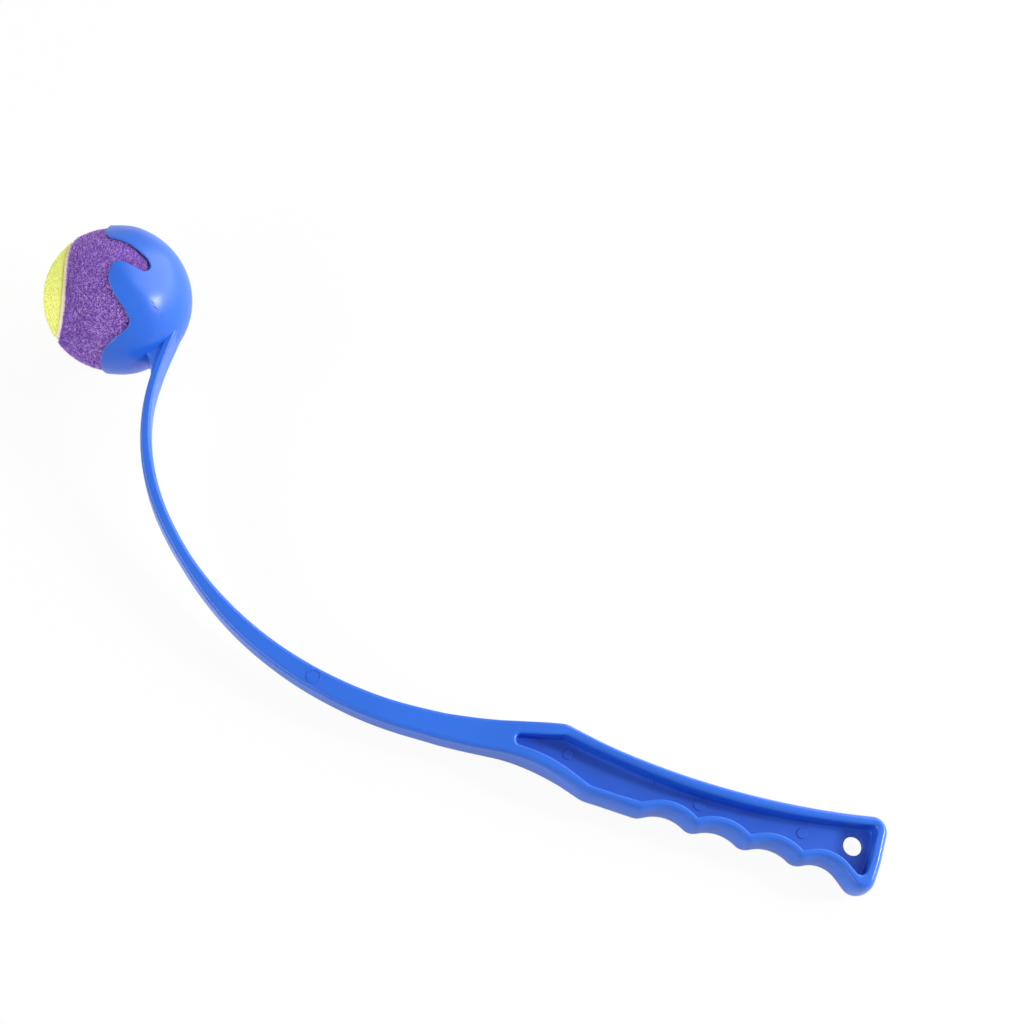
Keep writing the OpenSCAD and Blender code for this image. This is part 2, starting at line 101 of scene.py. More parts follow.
def arm_line(distance):
    """Middle of the arm at a distance from the handle, and the way that it heads there."""
    point, heading = np.zeros(2), 180 + arm_rise
    for radius, sweep in arm_arcs:
        turn = min(math.degrees(distance / radius), sweep)
        point = point - radius * left_of(heading) + radius * left_of(heading - turn)
        heading -= turn
        distance -= radius * math.radians(turn)
    return point + distance * along(heading), heading


arm_end, heading_end = arm_line(arm_len)
print(f"The arm is {arm_len:.1f} mm long and ends at {arm_end.round(1)}")
print(f"It heads {heading_end:.1f} degrees there")

# %% [markdown]
# ## Where the launcher lies
# At rest the launcher leans on the side of its cup and on the edge of its grip, so its plane is
# tilted. The axis of the hanging hole gives the tilt, and the ball's core, which sits in the middle of
# the cup, gives the place. Nothing is fitted by eye.

# %% From the launcher's plane to the ground
MM = 0.001
cup_r = 34.4
neck_rise, neck_sink = 21.0, 4.0
cup_centre = arm_end + neck_rise * along(heading_end) + (cup_r - neck_sink) * left_of(heading_end)

hang_hole = frame["record"]["mounts"][0]
rest_tilt = math.atan2(-hang_hole["axis"][1], hang_hole["axis"][2])
core_boxes = [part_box(name) for name in ("core_upper", "core_lower")]
core_corners = np.array([corner for box in core_boxes for corner in box])
ball_place = Vector((core_corners.min(axis=0) + core_corners.max(axis=0)) / 2)
laid = (
    Matrix.Translation(ball_place)
    @ Matrix.Rotation(rest_tilt, 4, "X")
    @ Matrix.Scale(MM, 4)
    @ Matrix.Translation((-cup_centre[0], -cup_centre[1], 0))
)
ball_mm = [round(1000 * x, 1) for x in ball_place]
print(f"Tilt {math.degrees(rest_tilt):.2f} degrees, ball at {ball_mm} mm")

# %% [markdown]
# ## Camera
# The picture looks down at the launcher from its front, with the camera rolled so that the handle
# falls to the right. A long lens keeps the cup and the butt at nearly the same scale.

# %% Camera
view_aim = Vector((0.0181, 0.0187, 0.0343))
view_distance = 0.9085
view_azimuth = math.radians(-88.64)
view_elevation = math.radians(59.58)
view_roll = math.radians(17.82)

back = Vector((
    math.cos(view_elevation) * math.cos(view_azimuth),
    math.cos(view_elevation) * math.sin(view_azimuth),
    math.sin(view_elevation),
))
level_right = Vector((0, 0, 1)).cross(back).normalized()
level_up = back.cross(level_right)
right = math.cos(view_roll) * level_right + math.sin(view_roll) * level_up
up = math.cos(view_roll) * level_up - math.sin(view_roll) * level_right

camera = bpy.data.objects.new("camera", bpy.data.cameras.new("camera"))
camera.data.sensor_width = 36.0
camera.data.lens = 72.07
view_turn = Matrix((right, up, back)).transposed().to_4x4()
camera.matrix_world = Matrix.Translation(view_aim + view_distance * back) @ view_turn
scene.collection.objects.link(camera)
scene.camera = camera
print("Camera at", [round(x, 3) for x in camera.location])

# %% [markdown]
# ## Node helpers
# A material is a tree of nodes. One helper makes a node and fills its sockets, with a number, a colour
# or the output of another node, so that each material below reads as a short list.

# %% Node helpers


def node(tree, kind, inputs=None, **settings):
    """A new node, with its settings, and its input sockets set or linked."""
    made = tree.nodes.new(kind)
    for name, value in settings.items():
        setattr(made, name, value)
    for name, value in (inputs or {}).items():
        if isinstance(value, bpy.types.NodeSocket):
            tree.links.new(value, made.inputs[name])
        else:
            made.inputs[name].default_value = value
    return made


def calculate(tree, operation, first, second=0.0, third=0.0):
    """Output of a Math node."""
    made = node(tree, "ShaderNodeMath", {0: first, 1: second, 2: third}, operation=operation)
    return made.outputs[0]


def mix_colours(tree, factor, first, second):
    """Output of a Mix node for colours."""
    made = node(tree, "ShaderNodeMix", {0: factor, 6: first, 7: second}, data_type="RGBA")
    return made.outputs[2]


def remap(tree, value, low, high, new_low=0.0, new_high=1.0):
    """Output of a Map Range node."""
    made = node(tree, "ShaderNodeMapRange", {
        "Value": value, "From Min": low, "From Max": high, "To Min": new_low, "To Max": new_high})
    return made.outputs[0]


def vector_math(tree, operation, first, second, output=0):
    """Output of a Vector Math node."""
    made = node(tree, "ShaderNodeVectorMath", {0: first, 1: second}, operation=operation)
    return made.outputs[output]


def noise_value(tree, vector, scale, **more):
    """Output of a Noise Texture node."""
    return node(tree, "ShaderNodeTexNoise", {"Vector": vector, "Scale": scale, **more}).outputs[0]


def add_bump(tree, shader, height, strength, distance):
    """Bumps a shader's normal by a height, over a distance in metres."""
    bump = node(tree, "ShaderNodeBump", {"Height": height, "Strength": strength, "Distance": distance})
    tree.links.new(bump.outputs[0], shader.inputs["Normal"])


# %% Group and material helpers


def node_group(name, inputs, outputs):
    """An empty shader group with its sockets, and its input and output nodes."""
    group = bpy.data.node_groups.new(name, "ShaderNodeTree")
    for socket_name, kind, value in inputs:
        socket = group.interface.new_socket(socket_name, in_out="INPUT", socket_type=kind)
        if value is not None:
            socket.default_value = value
    for socket_name, kind in outputs:
        group.interface.new_socket(socket_name, in_out="OUTPUT", socket_type=kind)
    return group, group.nodes.new("NodeGroupInput"), group.nodes.new("NodeGroupOutput")


def fill_group(tree, group, inputs):
    """A shader group placed in a tree, with its inputs set or linked."""
    return node(tree, "ShaderNodeGroup", inputs, node_tree=group)


def new_material(name):
    """A material with a Principled shader, its tree, the shader and Object coordinates."""
    material = bpy.data.materials.new(name)
    material.use_nodes = True
    tree = material.node_tree
    coordinates = node(tree, "ShaderNodeTexCoord").outputs["Object"]
    return material, tree, tree.nodes["Principled BSDF"], coordinates


# %% [markdown]
# ## Shared effects
# Moulded plastic and rubber both take the fine texture of the steel that shaped them, and their colour
# drifts a little from place to place. That effect is one group, used by several materials with their
# own scale. The second group draws scuffs: noise stretched along one way and cut off so high that only
# thin lines are left, in patches, as things that are dragged over the ground get.

# %% Grain and scuff groups
noise_range = (0.3, 0.7)
drift_share = 0.035
scuff_stretch, scuff_edge = (0.05, 1.0, 0.4), 0.05
patch_scale, patch_range = 38.0, (0.45, 0.65)


def moulded_grain_group():
    """Slow drift of the colour, and the height of a fine grain."""
    group, given, result = node_group(
        "Moulded grain",
        [("Vector", "NodeSocketVector", None), ("Scale", "NodeSocketFloat", 1000.0)],
        [("Drift", "NodeSocketFloat"), ("Height", "NodeSocketFloat")],
    )
    place, scale = given.outputs["Vector"], given.outputs["Scale"]
    fine = noise_value(group, place, scale, Detail=3.0, Roughness=0.6)
    broad = noise_value(group, place, calculate(group, "MULTIPLY", scale, drift_share), Detail=3.0)
    group.links.new(broad, result.inputs["Drift"])
    group.links.new(fine, result.inputs["Height"])
    return group


def scuff_lines_group():
    """Mask of thin scuffs, in patches, that run along x before they are turned about z."""
    group, given, result = node_group(
        "Scuff lines",
        [
            ("Vector", "NodeSocketVector", None),
            ("Scale", "NodeSocketFloat", 400.0),
            ("Turn", "NodeSocketFloat", 0.0),
            ("Cut", "NodeSocketFloat", 0.66),
        ],
        [("Mask", "NodeSocketFloat")],
    )
    place, cut = given.outputs["Vector"], given.outputs["Cut"]
    turned = node(group, "ShaderNodeVectorRotate", {
        "Vector": place, "Angle": given.outputs["Turn"]}, rotation_type="Z_AXIS")
    stretched = vector_math(group, "MULTIPLY", turned.outputs[0], scuff_stretch)
    lines = noise_value(group, stretched, given.outputs["Scale"], Detail=2.0)
    sharp = remap(group, lines, cut, calculate(group, "ADD", cut, scuff_edge))
    patches = remap(group, noise_value(group, place, patch_scale), *patch_range)
    group.links.new(calculate(group, "MULTIPLY", sharp, patches), result.inputs["Mask"])
    return group


moulded_grain = moulded_grain_group()
scuff_lines = scuff_lines_group()
print("Shared groups:", moulded_grain.name, "and", scuff_lines.name)

# %% [markdown]
# ## Outline of the stick
# Arm and handle are one outline: two edges that follow the arm, and the grip with its hump, palm, butt,
# toe, finger grooves and guard. Every corner of the grip is an arc. A station on the outline
# knows its corner and its inward way, so the whole outline can be moved in by any depth and the arcs
# stay concentric. That is how a mould maker offsets a rim, and it makes the edge, the lip and the
# recess below from one drawing.

# %% Sizes of the arm's section
# The places are distances along the arm from the handle, and each has its value below it.
neck_tail = 12.0
neck_to = arm_len + 24.0
thick_at = (0, 55, 168, 214, arm_len - neck_tail, arm_len, arm_len + neck_tail, neck_to)
thick = (12.8, 9.3, 4.8, 4.8, 2.7, 2.6, 4.4, 5.8)
depth_at = (0, 133, 225, 258, neck_to)
depth = (16.0, 11.5, 14.0, 18.6, 18.6)
more_at = (18, 37, 49, 61, 95, 130, 165, 240, 262, 276, neck_to)
more_above = (0.8, 1.15, 0.95, 0.7, 0.35, 0.55, 0.35, 0.3, 1.05, 0.4, 0.0)
more_below = (0.25, -0.4, 0.25, 0.8, 1.25, 0.85, 0.05, 0.2, -0.35, -0.1, 0.0)
thick_reach, depth_reach, more_reach, soft_samples = 4, 14, 6, 15
arm_edge, arm_edge_share = 1.8, 0.76


def softened(distance, places, values, reach):
    """A line through values at places, with its corners softened over a reach."""
    return np.interp(distance + np.linspace(-reach, reach, soft_samples), places, values).mean()


def arm_thick(distance):
    """Thickness of the arm in its plane, before its edges get more."""
    return softened(distance, thick_at, thick, thick_reach)


def arm_depth(distance):
    """Depth of the arm across its plane."""
    return softened(distance, depth_at, depth, depth_reach)


def arm_half(distance, side):
    """From the arm's line to its upper edge, side -1, or to its lower one, side 1."""
    more = more_above if side < 0 else more_below
    return arm_thick(distance) / 2 + softened(distance, more_at, more, more_reach)


def arm_slim(distance):
    """The lesser of the arm's two half thicknesses."""
    return min(arm_half(distance, side) for side in (-1, 1))


def arm_edge_at(distance):
    """Radius of the arm's rounded edges, which is less where the arm is slim."""
    return min(arm_edge, arm_edge_share * arm_slim(distance))


middle_thick, neck_thick = (
    sum(arm_half(distance, side) for side in (-1, 1)) for distance in (arm_len / 2, arm_len)
)
print(f"The arm is {middle_thick:.1f} mm thick at its middle and {neck_thick:.1f} mm at the cup")

# %% Corners of the grip
# A corner is its place, its radius and the radius that it tightens to inside.
root_len = 18.0
handle_len = 165.0
hump_at, hump_v, hump_r = 19.6, 13.3, 11.0
palm_v, palm_straight = 4.5, 9.8
butt_top_v, butt_top_in, butt_r, butt_lean, butt_side_r = 21.5, 0.4, 7.2, -0.4, 30.0
toe_in, toe_drop, toe_r = 0.7, 20.2, 6.6
root_arch = (10.0, -5.1, 75.0, 75.0)
guard = (36.3, -13.5, 14.0, 6.0)
groove_from_butt, groove_pitch, groove_count = 22.0, 23.4, 4
groove_rise, groove_depth, groove_r = 0.75, 6.3, 17.0
ridge_drop, ridge_r = 13.3, 7.0
inner_hump_r, inner_butt_r, inner_toe_r, cusp_r = 3.0, 2.4, 2.6, 0.4
last_groove_r = 13.0


def unit(vector):
    """A way of length 1."""
    return vector / np.linalg.norm(vector)


def turn_between(first, second):
    """Angle from one way to another, positive to the left."""
    return math.atan2(first[0] * second[1] - first[1] * second[0], first @ second)


def palm_corner():
    """Corner under the palm's arc, halfway along, with the arc that leaves a straight at the hump."""
    hump = np.array([hump_at, hump_v])
    butt = np.array([handle_len - butt_top_in, butt_top_v])
    corner = np.array([(hump_at + handle_len) / 2, palm_v])
    turn = turn_between(corner - hump, butt - corner)
    radius = (np.linalg.norm(corner - hump) - palm_straight) / math.tan(abs(turn) / 2)
    return (*corner, radius, radius)


def finger_corners():
    """Grooves and ridges from the toe to the guard."""
    corners = []
    first_ridge = handle_len - groove_from_butt - (groove_count - 0.5) * groove_pitch
    for k in reversed(range(groove_count)):
        groove_v = -ridge_drop + (k + 0.5) * groove_rise + groove_depth
        radius = last_groove_r if k == groove_count - 1 else groove_r
        corners.append((first_ridge + (k + 0.5) * groove_pitch, groove_v, radius, radius))
        corners.append((first_ridge + k * groove_pitch, -ridge_drop + k * groove_rise, ridge_r, cusp_r))
    return corners


joint_mid, joint_heading = arm_line(root_len)
joint_above, joint_below = (
    joint_mid + side * arm_half(root_len, side) * left_of(joint_heading) for side in (-1, 1)
)
grip_corners = [
    (*joint_above, 0, 0),
    (hump_at, hump_v, hump_r, inner_hump_r),
    palm_corner(),
    (handle_len - butt_top_in, butt_top_v, butt_r, inner_butt_r),
    (handle_len - butt_lean, 0, butt_side_r, butt_side_r),
    (handle_len - toe_in, -toe_drop, toe_r, inner_toe_r),
    *finger_corners(),
    guard,
    root_arch,
    (*joint_below, 0, 0),
]
print(len(grip_corners), "corners round the grip")

# %% [markdown]
# ## Stations along the grip
# Walking round the corners clockwise keeps the inside on the right. A right turn is an outer corner,
# whose arc tightens to its inner radius as the outline moves in, and a left turn is an inner one. The
# ridges between the fingers end in cusps at the lip, while the toe stays round.

# %% Station helpers
Station = namedtuple("Station", "corner spread inward radius inner")
arc_angle = math.radians(4)
arc_step, side_step = 2.0, 3.0
rim_w, deepest = 4.4, 7.4


def right_of(way):
    """Way to the right of a way."""
    return np.array([way[1], -way[0]])


def rotated(way, angle):
    """A way turned to the left by an angle."""
    c, s = math.cos(angle), math.sin(angle)
    return np.array([c * way[0] - s * way[1], s * way[0] + c * way[1]])


def plain_station(place, inward):
    """Station on a straight side, or on an arc that keeps its middle."""
    return Station(place, inward, inward, 0, 0)


def straight_stations(start, end, way):
    """Stations inside a straight side, clear of its two ends."""
    count = max(0, int((end - start) @ way // side_step))
    places = [start + (end - start) * (k + 1) / (count + 1) for k in range(count)]
    return [plain_station(place, right_of(way)) for place in places]


# %% Stations round the grip


def grip_stations(corners):
    """Stations round the grip, whose sides keep clear of what outer corners take as they move in."""
    stations, side_start = [], np.array(corners[0][:2])
    for before, here, after in zip(corners, corners[1:], corners[2:]):
        a, b, c = (np.array(corner[:2]) for corner in (before, here, after))
        way_in, way_out, radius, inner = unit(b - a), unit(c - b), *here[2:]
        turn = turn_between(way_in, way_out)
        spread = unit(right_of(way_in) + right_of(way_out)) / math.cos(turn / 2)
        taken = max(radius, inner + deepest if turn < 0 else 0) * math.tan(abs(turn) / 2)
        stations += straight_stations(side_start, b - taken * way_in, way_in)
        steps = max(3, math.ceil(max(abs(turn) / arc_angle, radius * abs(turn) / arc_step)))
        for k in range(steps + 1):
            inward = rotated(right_of(way_in), turn * k / steps)
            if turn < 0:
                stations.append(Station(b, spread, inward, radius, inner))
            else:
                stations.append(plain_station(b - spread * radius + inward * radius, inward))
        side_start = b + taken * way_out
    end = np.array(corners[-1][:2])
    return stations + straight_stations(side_start, end, unit(end - np.array(corners[-2][:2])))


def moved_in(stations, depth):
    """Places of the stations when the outline is moved in by a depth, or by one depth each."""
    corner, spread, inward = (np.array([s[k] for s in stations]) for k in range(3))
    radius, inner = (np.array([s[k] for s in stations]) for k in (3, 4))
    depth = np.broadcast_to(depth, radius.shape)
    left = radius + (inner - radius) * np.clip(depth / rim_w, 0, 1)
    return corner + spread * (depth + left)[:, None] - inward * left[:, None]


grip = grip_stations(grip_corners)
print(len(grip), "stations round the grip")

# %% [markdown]
# ## One outline for arm and grip
# Between the arm and the tip of the recess, the root of the handle, the two edges are sampled at
# the same distances, so that they can share a spine. The arm's edges are sampled the same way. The
# small kink where the arm's edge meets the grip's straight side is relaxed away.

# %% Edges of the root and the arm
recess_from = 19.0
root_past_tip, root_margin = 6.0, 8.0
spine_clear, tip_clear, tip_reach = 2.9, 2.2, 6.0
arm_points, spine_points, tip_points = 110, 8, 8
root_end = recess_from + root_past_tip
root_way = -along(joint_heading)
arm_distances = np.linspace(neck_to, root_len, arm_points)
spine_distances = np.linspace(0, recess_from - spine_clear, spine_points)[1:]
tip_distances = recess_from - tip_clear + tip_reach * np.linspace(0, 1, tip_points) ** 2


def root_distance(points):
    """How far points lie along the root, from the joint with the arm."""
    return (points - joint_mid) @ root_way


def root_edge(stations, joint):
    """Distances, places and inward ways along one edge of the root, from the joint on."""
    near = [s for s in stations if root_distance(moved_in([s], 0))[0] < root_end + root_margin]
    places = np.vstack([joint, moved_in(near, 0)])
    ways = np.vstack([near[0].inward, [s.inward for s in near]])
    return root_distance(places), places, ways


def row_at(distance, distances, rows):
    """What lies at a distance, between rows at rising distances."""
    return np.array([np.interp(distance, distances, rows[:, axis]) for axis in (0, 1)])


def on_root(edge, distance):
    """Station on a root edge."""
    distances, places, ways = edge
    return plain_station(row_at(distance, distances, places), unit(row_at(distance, distances, ways)))


def arm_station(distance, side):
    """Station on the arm's upper edge, side -1, or its lower one, side 1."""
    point, heading = arm_line(distance)
    inward = -side * left_of(heading)
    return plain_station(point - arm_half(distance, side) * inward, inward)


def relaxed(stations, middle, reach=5, passes=40):
    """The stations with the kink at one of them smoothed away."""
    places = np.array([s.corner for s in stations[middle - reach:middle + reach + 1]])
    for _ in range(passes):
        places[1:-1] += ((places[:-2] + places[2:]) / 2 - places[1:-1]) / 2
    smooth = [s._replace(corner=place) for s, place in zip(stations[middle - reach:], places)]
    return stations[:middle - reach] + smooth + stations[middle + reach + 1:]


# %% Join the edges
half_way = len(grip) // 2
upper_edge = root_edge(grip[:half_way], joint_above)
lower_edge = root_edge(grip[:half_way:-1], joint_below)
root_distances = np.concatenate([spine_distances, tip_distances])
beyond = [s for s in grip if root_distance(moved_in([s], 0))[0] > root_end]

outline = (
    [arm_station(distance, -1) for distance in arm_distances]
    + [on_root(upper_edge, distance) for distance in root_distances]
    + beyond
    + [on_root(lower_edge, distance) for distance in root_distances[::-1]]
    + [arm_station(distance, 1) for distance in arm_distances[::-1]]
)
outline = relaxed(outline, len(arm_distances) - 1)
outline = relaxed(outline, len(outline) - len(arm_distances))
print(len(outline), "stations round the stick")

# %% [markdown]
# ## Skin of the stick
# The skin is a stack of rings. It starts at the parting line, where the two halves of the mould meet
# and leave a hair of flash, runs straight up the edge, rounds over onto the side face, and ends on the
# spine of the arm or on the lip of the recess. The grip's rim is round like a bullnose and
# the arm's edge is crisper, so the rounding fades from one to the other. A bevel would round the edge
# too, but with one radius all the way.

# %% Rounding of the edge
handle_depth = 20.0
flash, flash_w, band_margin = 0.04, 0.3, 0.5
edge_in, palm_edge_in, edge_deep, edge_fade = 3.0, 2.1, 8.6, 9.0
edge_angles = np.radians(np.linspace(90, 0, 9))
support_in, support_share = 0.2, 0.4
bead_begins, bead_narrows = (hump_at - 4, hump_at + 14), (100.0, 158.0)
bead_narrower = 0.45


def ease(value, start, end):
    """Smooth step from 0 to 1."""
    return (1 - np.cos(np.pi * np.clip((value - start) / (end - start), 0, 1))) / 2


def palm_share(places, inward):
    """How much of a broad bead the rim is: wholly along the palm, less at the butt and not elsewhere."""
    begun = ease(places[:, 0], *bead_begins)
    narrowed = 1 - bead_narrower * ease(places[:, 0], *bead_narrows)
    return np.clip(-inward[:, 1], 0, 1) ** 2 * begun * narrowed


def half_depth(u):
    """Half depth of the handle, which grows out of the arm's depth as far as the hump."""
    root_depth = arm_depth(root_len)
    return (root_depth + (handle_depth - root_depth) * ease(u, -root_len, hump_at)) / 2


rim_places = moved_in(outline, 0)
rim_ways = np.array([s.inward for s in outline])
fullness = ease(rim_places[:, 0], hump_at - edge_fade, guard[0] + edge_fade)
depths = half_depth(rim_places[:, 0])
root_edge_r = arm_edge_at(root_len)
round_in = root_edge_r + (edge_in - root_edge_r) * fullness
round_in -= (edge_in - palm_edge_in) * palm_share(rim_places, rim_ways)
round_deep = root_edge_r + (edge_deep - root_edge_r) * fullness
support = round_in + support_in
for k, distance in enumerate(arm_distances):
    for index in (k, len(outline) - 1 - k):
        depths[index] = arm_depth(distance) / 2
        round_in[index] = round_deep[index] = arm_edge_at(distance)
        to_spine = arm_slim(distance) - round_in[index]
        support[index] = round_in[index] + min(support_in, support_share * to_spine)
print(f"The edge is rounded over {round_in.min():.1f} to {round_in.max():.1f} mm")

# %% Rings over the edge


def raised(places, height):
    """Places in the plane lifted to a height across the moulding."""
    return np.column_stack([places, np.broadcast_to(height, len(places))])


def edge_rings():
    """Rings from the side face over the edge to the parting line."""
    rings = [raised(moved_in(outline, support), depths)]
    for angle in edge_angles:
        places = moved_in(outline, round_in * (1 - math.cos(angle)))
        rings.append(raised(places, depths - round_deep * (1 - math.sin(angle))))
    rings.append(raised(rim_places, depths - round_deep - band_margin))
    rings.append(raised(rim_places, flash_w + band_margin))
    rings.append(raised(rim_places, flash_w))
    rings.append(raised(moved_in(outline, -flash), 0))
    return rings


# %% [markdown]
# ## Recess of the grip
# The recess is the same outline moved further in, cut off square near the arm with two small corners,
# which make its blunt tip. Its lip is rounded, broadly along the palm, where the hand presses on it. Its
# wall leans in so that the part leaves the mould, and a fillet runs round its floor, wider under the
# palm. A Boolean cut would be quicker, but it would leave the lip and the floor with sharp corners.

# %% Width of the rim
tip_rim_upper, tip_rim_lower, tip_steeper = 1.25, 0.8, 0.7
tip_rim_from, tip_rim_to = 9.0, 38.0
palm_rim, finger_rim, butt_rim, toe_rim, hump_rim = 1.2, 0.55, 1.0, 0.6, -0.7
fingers_from, butt_from, toe_from, toe_below = (45, 65), (120, 150), (140, 155), (6, 18)
hump_grows, hump_fades = (14, 28), (28, 85)


def rim_more(places, inward, inset):
    """How much wider the rim is on each side and at the tip, whose wall is steeper to leave a floor."""
    (u, v), (way_u, way_v) = places.T, inward.T
    tip = np.where(way_v < 0, tip_rim_upper, tip_rim_lower)
    tip = tip - tip_steeper * np.clip(inset - rim_w, 0, None)
    near_tip = 1 - ease(u, tip_rim_from, tip_rim_to)
    palm = palm_rim * palm_share(places, inward)
    fingers = finger_rim * np.clip(way_v, 0, 1) ** 2 * ease(u, *fingers_from)
    butt = butt_rim * np.clip(-way_u, 0, 1) ** 2 * ease(u, *butt_from)
    toe = toe_rim * ease(-v, *toe_below) * ease(u, *toe_from)
    hump = hump_rim * ease(u, *hump_grows) * (1 - ease(u, *hump_fades)) * np.clip(-way_v, 0, 1)
    return tip * near_tip + palm + fingers + butt + toe + hump


beyond_places, beyond_inward = moved_in(beyond, 0), np.array([s.inward for s in beyond])
bead = np.pad(palm_share(beyond_places, beyond_inward), tip_points)
print(f"The rim is a broad bead at {(bead > 0.5).sum()} of {len(bead)} stations")

# %% Outline of the recess
recess_tip_r, tip_corner_share, tip_look_ahead = 2.6, 0.9, 2.0


def tip_corner(edge, inset, end_at):
    """Where an edge of the recess would meet the line of its tip, and the way that it runs on."""
    places = edge[1] + (inset + rim_more(edge[1], edge[2], inset))[:, None] * edge[2]
    reach = root_distance(places)
    corner, ahead = (row_at(distance, reach, places) for distance in (end_at, end_at + tip_look_ahead))
    return corner, unit(ahead - corner)


def half_tip(middle, corner, way):
    """Points from the middle of the tip round one corner."""
    rise = unit(corner - middle)
    turn = abs(turn_between(rise, way))
    room = tip_corner_share * np.linalg.norm(corner - middle)
    reach = min(recess_tip_r * math.tan(turn / 2), room)
    radius, start = reach / math.tan(turn / 2), corner - reach * rise
    side = unit(way - (way @ rise) * rise)
    angles = np.linspace(0, turn, tip_points - 2)
    arc = [start + radius * (math.sin(a) * rise + (1 - math.cos(a)) * side) for a in angles]
    return [middle, (middle + start) / 2, *arc]


def recess_places(inset):
    """The recess's outline at an inset, or one inset each, from the middle of its tip round to it."""
    inset = np.broadcast_to(inset, bead.shape)
    tip_inset, side_inset = inset[0], inset[tip_points:-tip_points]
    end_at = recess_from + tip_inset - rim_w
    upper, lower = (tip_corner(edge, tip_inset, end_at) for edge in (upper_edge, lower_edge))
    middle = (upper[0] + lower[0]) / 2
    sides = moved_in(beyond, side_inset + rim_more(beyond_places, beyond_inward, side_inset))
    return np.vstack([half_tip(middle, *upper), sides, half_tip(middle, *lower)[::-1]])


recess_u = recess_places(rim_w)[:, 0]
print(f"The recess runs from {recess_u.min():.1f} to {recess_u.max():.1f} mm")

# %% Rings of the recess
web_t, recess_draft = 3.0, 0.25
lip_r, palm_lip_in, palm_lip_deep, lip_margin = 0.8, 2.5, 2.4, 0.1
tip_lip, tip_lip_fades = 0.4, (9.0, 28.0)
floor_fillet, palm_fillet, palm_fillet_fades = 0.6, 1.6, (118, 148)
lip_angles = np.radians(np.linspace(0, 90, 9))
fillet_angles = np.radians(np.linspace(0, 90, 7))
wall_supports = (0.06, 0.94)

at_tip = tip_lip * (1 - ease(recess_u, *tip_lip_fades))
lip_in = lip_r + (palm_lip_in - lip_r) * bead + at_tip
lip_deep = lip_r + (palm_lip_deep - lip_r) * bead + at_tip
fillet_fade = 1 - ease(recess_u, *palm_fillet_fades)
fillet = floor_fillet + (palm_fillet - floor_fillet) * bead * fillet_fade


def lip_start():
    """The recess's outline on the side face, just outside its lip."""
    return recess_places(rim_w - lip_in - lip_margin)


def recess_rings():
    """Rings from the side face over the lip and down the wall to the floor."""
    lip = half_depth(recess_u)
    rings = [raised(lip_start(), lip)]
    for angle in lip_angles:
        inset = rim_w - lip_in * (1 - math.sin(angle))
        rings.append(raised(recess_places(inset), lip - lip_deep * (1 - math.cos(angle))))
    wall_top, wall_foot = lip - lip_deep, web_t / 2 + fillet
    for share in wall_supports:
        height = wall_top + share * (wall_foot - wall_top)
        rings.append(raised(recess_places(rim_w + share * recess_draft), height))
    for angle in fillet_angles:
        inset = rim_w + recess_draft + fillet * (1 - math.cos(angle))
        rings.append(raised(recess_places(inset), web_t / 2 + fillet * (1 - math.sin(angle))))
    return rings


print(f"Its lip is rounded over {lip_in.min():.1f} to {lip_in.max():.1f} mm")

# %% [markdown]
# ## Sewing the skin
# Each pair of rings is joined by a strip of quads. The side face joins the edge to the spine along the
# arm and to the lip along the grip. The second side is the first one mirrored, and doubles are merged,
# so the stick ends as one closed skin.

# %% Sewing helpers
doubles_within, degenerate_within, fill_within = 1e-4, 1e-5, 1e-6


def strip(first, second, count, closed=True):
    """Quads between two rows of vertices that start at two indices."""
    here = range(count if closed else count - 1)
    return [(first + k, first + (k + 1) % count, second + (k + 1) % count, second + k) for k in here]


def sewn(starts, count, closed=True):
    """Quads between rows of vertices that start at the given indices, each row sewn to the next."""
    pairs = zip(starts, starts[1:])
    return [face for first, second in pairs for face in strip(first, second, count, closed)]


def closed_object(name, points, faces):
    """An object with a closed mesh, its doubles merged and its faces turned outwards."""
    mesh = bpy.data.meshes.new(name)
    work = bmesh.new()
    corners = [work.verts.new(point) for point in points]
    for face in faces:
        work.faces.new([corners[k] for k in face])
    bmesh.ops.remove_doubles(work, verts=work.verts, dist=doubles_within)
    bmesh.ops.dissolve_degenerate(work, edges=work.edges, dist=degenerate_within)
    lone = [vert for vert in work.verts if not vert.link_faces]
    bmesh.ops.delete(work, geom=lone, context="VERTS")
    bmesh.ops.recalc_face_normals(work, faces=work.faces)
    loose = sum(not edge.is_manifold for edge in work.edges)
    work.to_mesh(mesh)
    work.free()
    made = bpy.data.objects.new(name, mesh)
    scene.collection.objects.link(made)
    print(f"{name}: {len(mesh.polygons)} faces, {loose} open edges")
    return made


def stack_object(name, rings):
    """A closed solid from a stack of rings of the same count, with flat ends."""
    count, total = len(rings[0]), len(rings) * len(rings[0])
    ends = [tuple(range(count)), tuple(range(total - count, total))]
    return closed_object(name, np.vstack(rings), ends + sewn(range(0, total, count), count))


def fill_triangles(border, inside):
    """Triangles that fill a closed border on a flat map, through the points inside it."""
    flat = [Vector(place) for place in np.vstack([border, inside])]
    found = delaunay_2d_cdt(flat, [], [list(range(len(border)))], 1, fill_within)
    triangles, sources = found[2], found[3]
    return [[sources[corner][0] for corner in face] for face in triangles]


# %% Sew the stick
floor_step, floor_clear = 2.5, 0.6


def floor_grid(border):
    """Even points over the box of a border, clear of the border itself."""
    low, high = border.min(axis=0), border.max(axis=0)
    u, v = np.meshgrid(*(np.arange(low[axis], high[axis], floor_step) for axis in (0, 1)))
    places = np.column_stack([u.ravel(), v.ravel()])
    gaps = np.linalg.norm(places[:, None] - border[None], axis=2).min(axis=1)
    return places[gaps > floor_clear * floor_step]


def spine_places():
    """Places on the middle of the root, from the joint to the tip of the recess."""
    tip = lip_start()[0]
    share = spine_distances / root_distance(tip[None])[0]
    return joint_mid + share[:, None] * (tip - joint_mid)


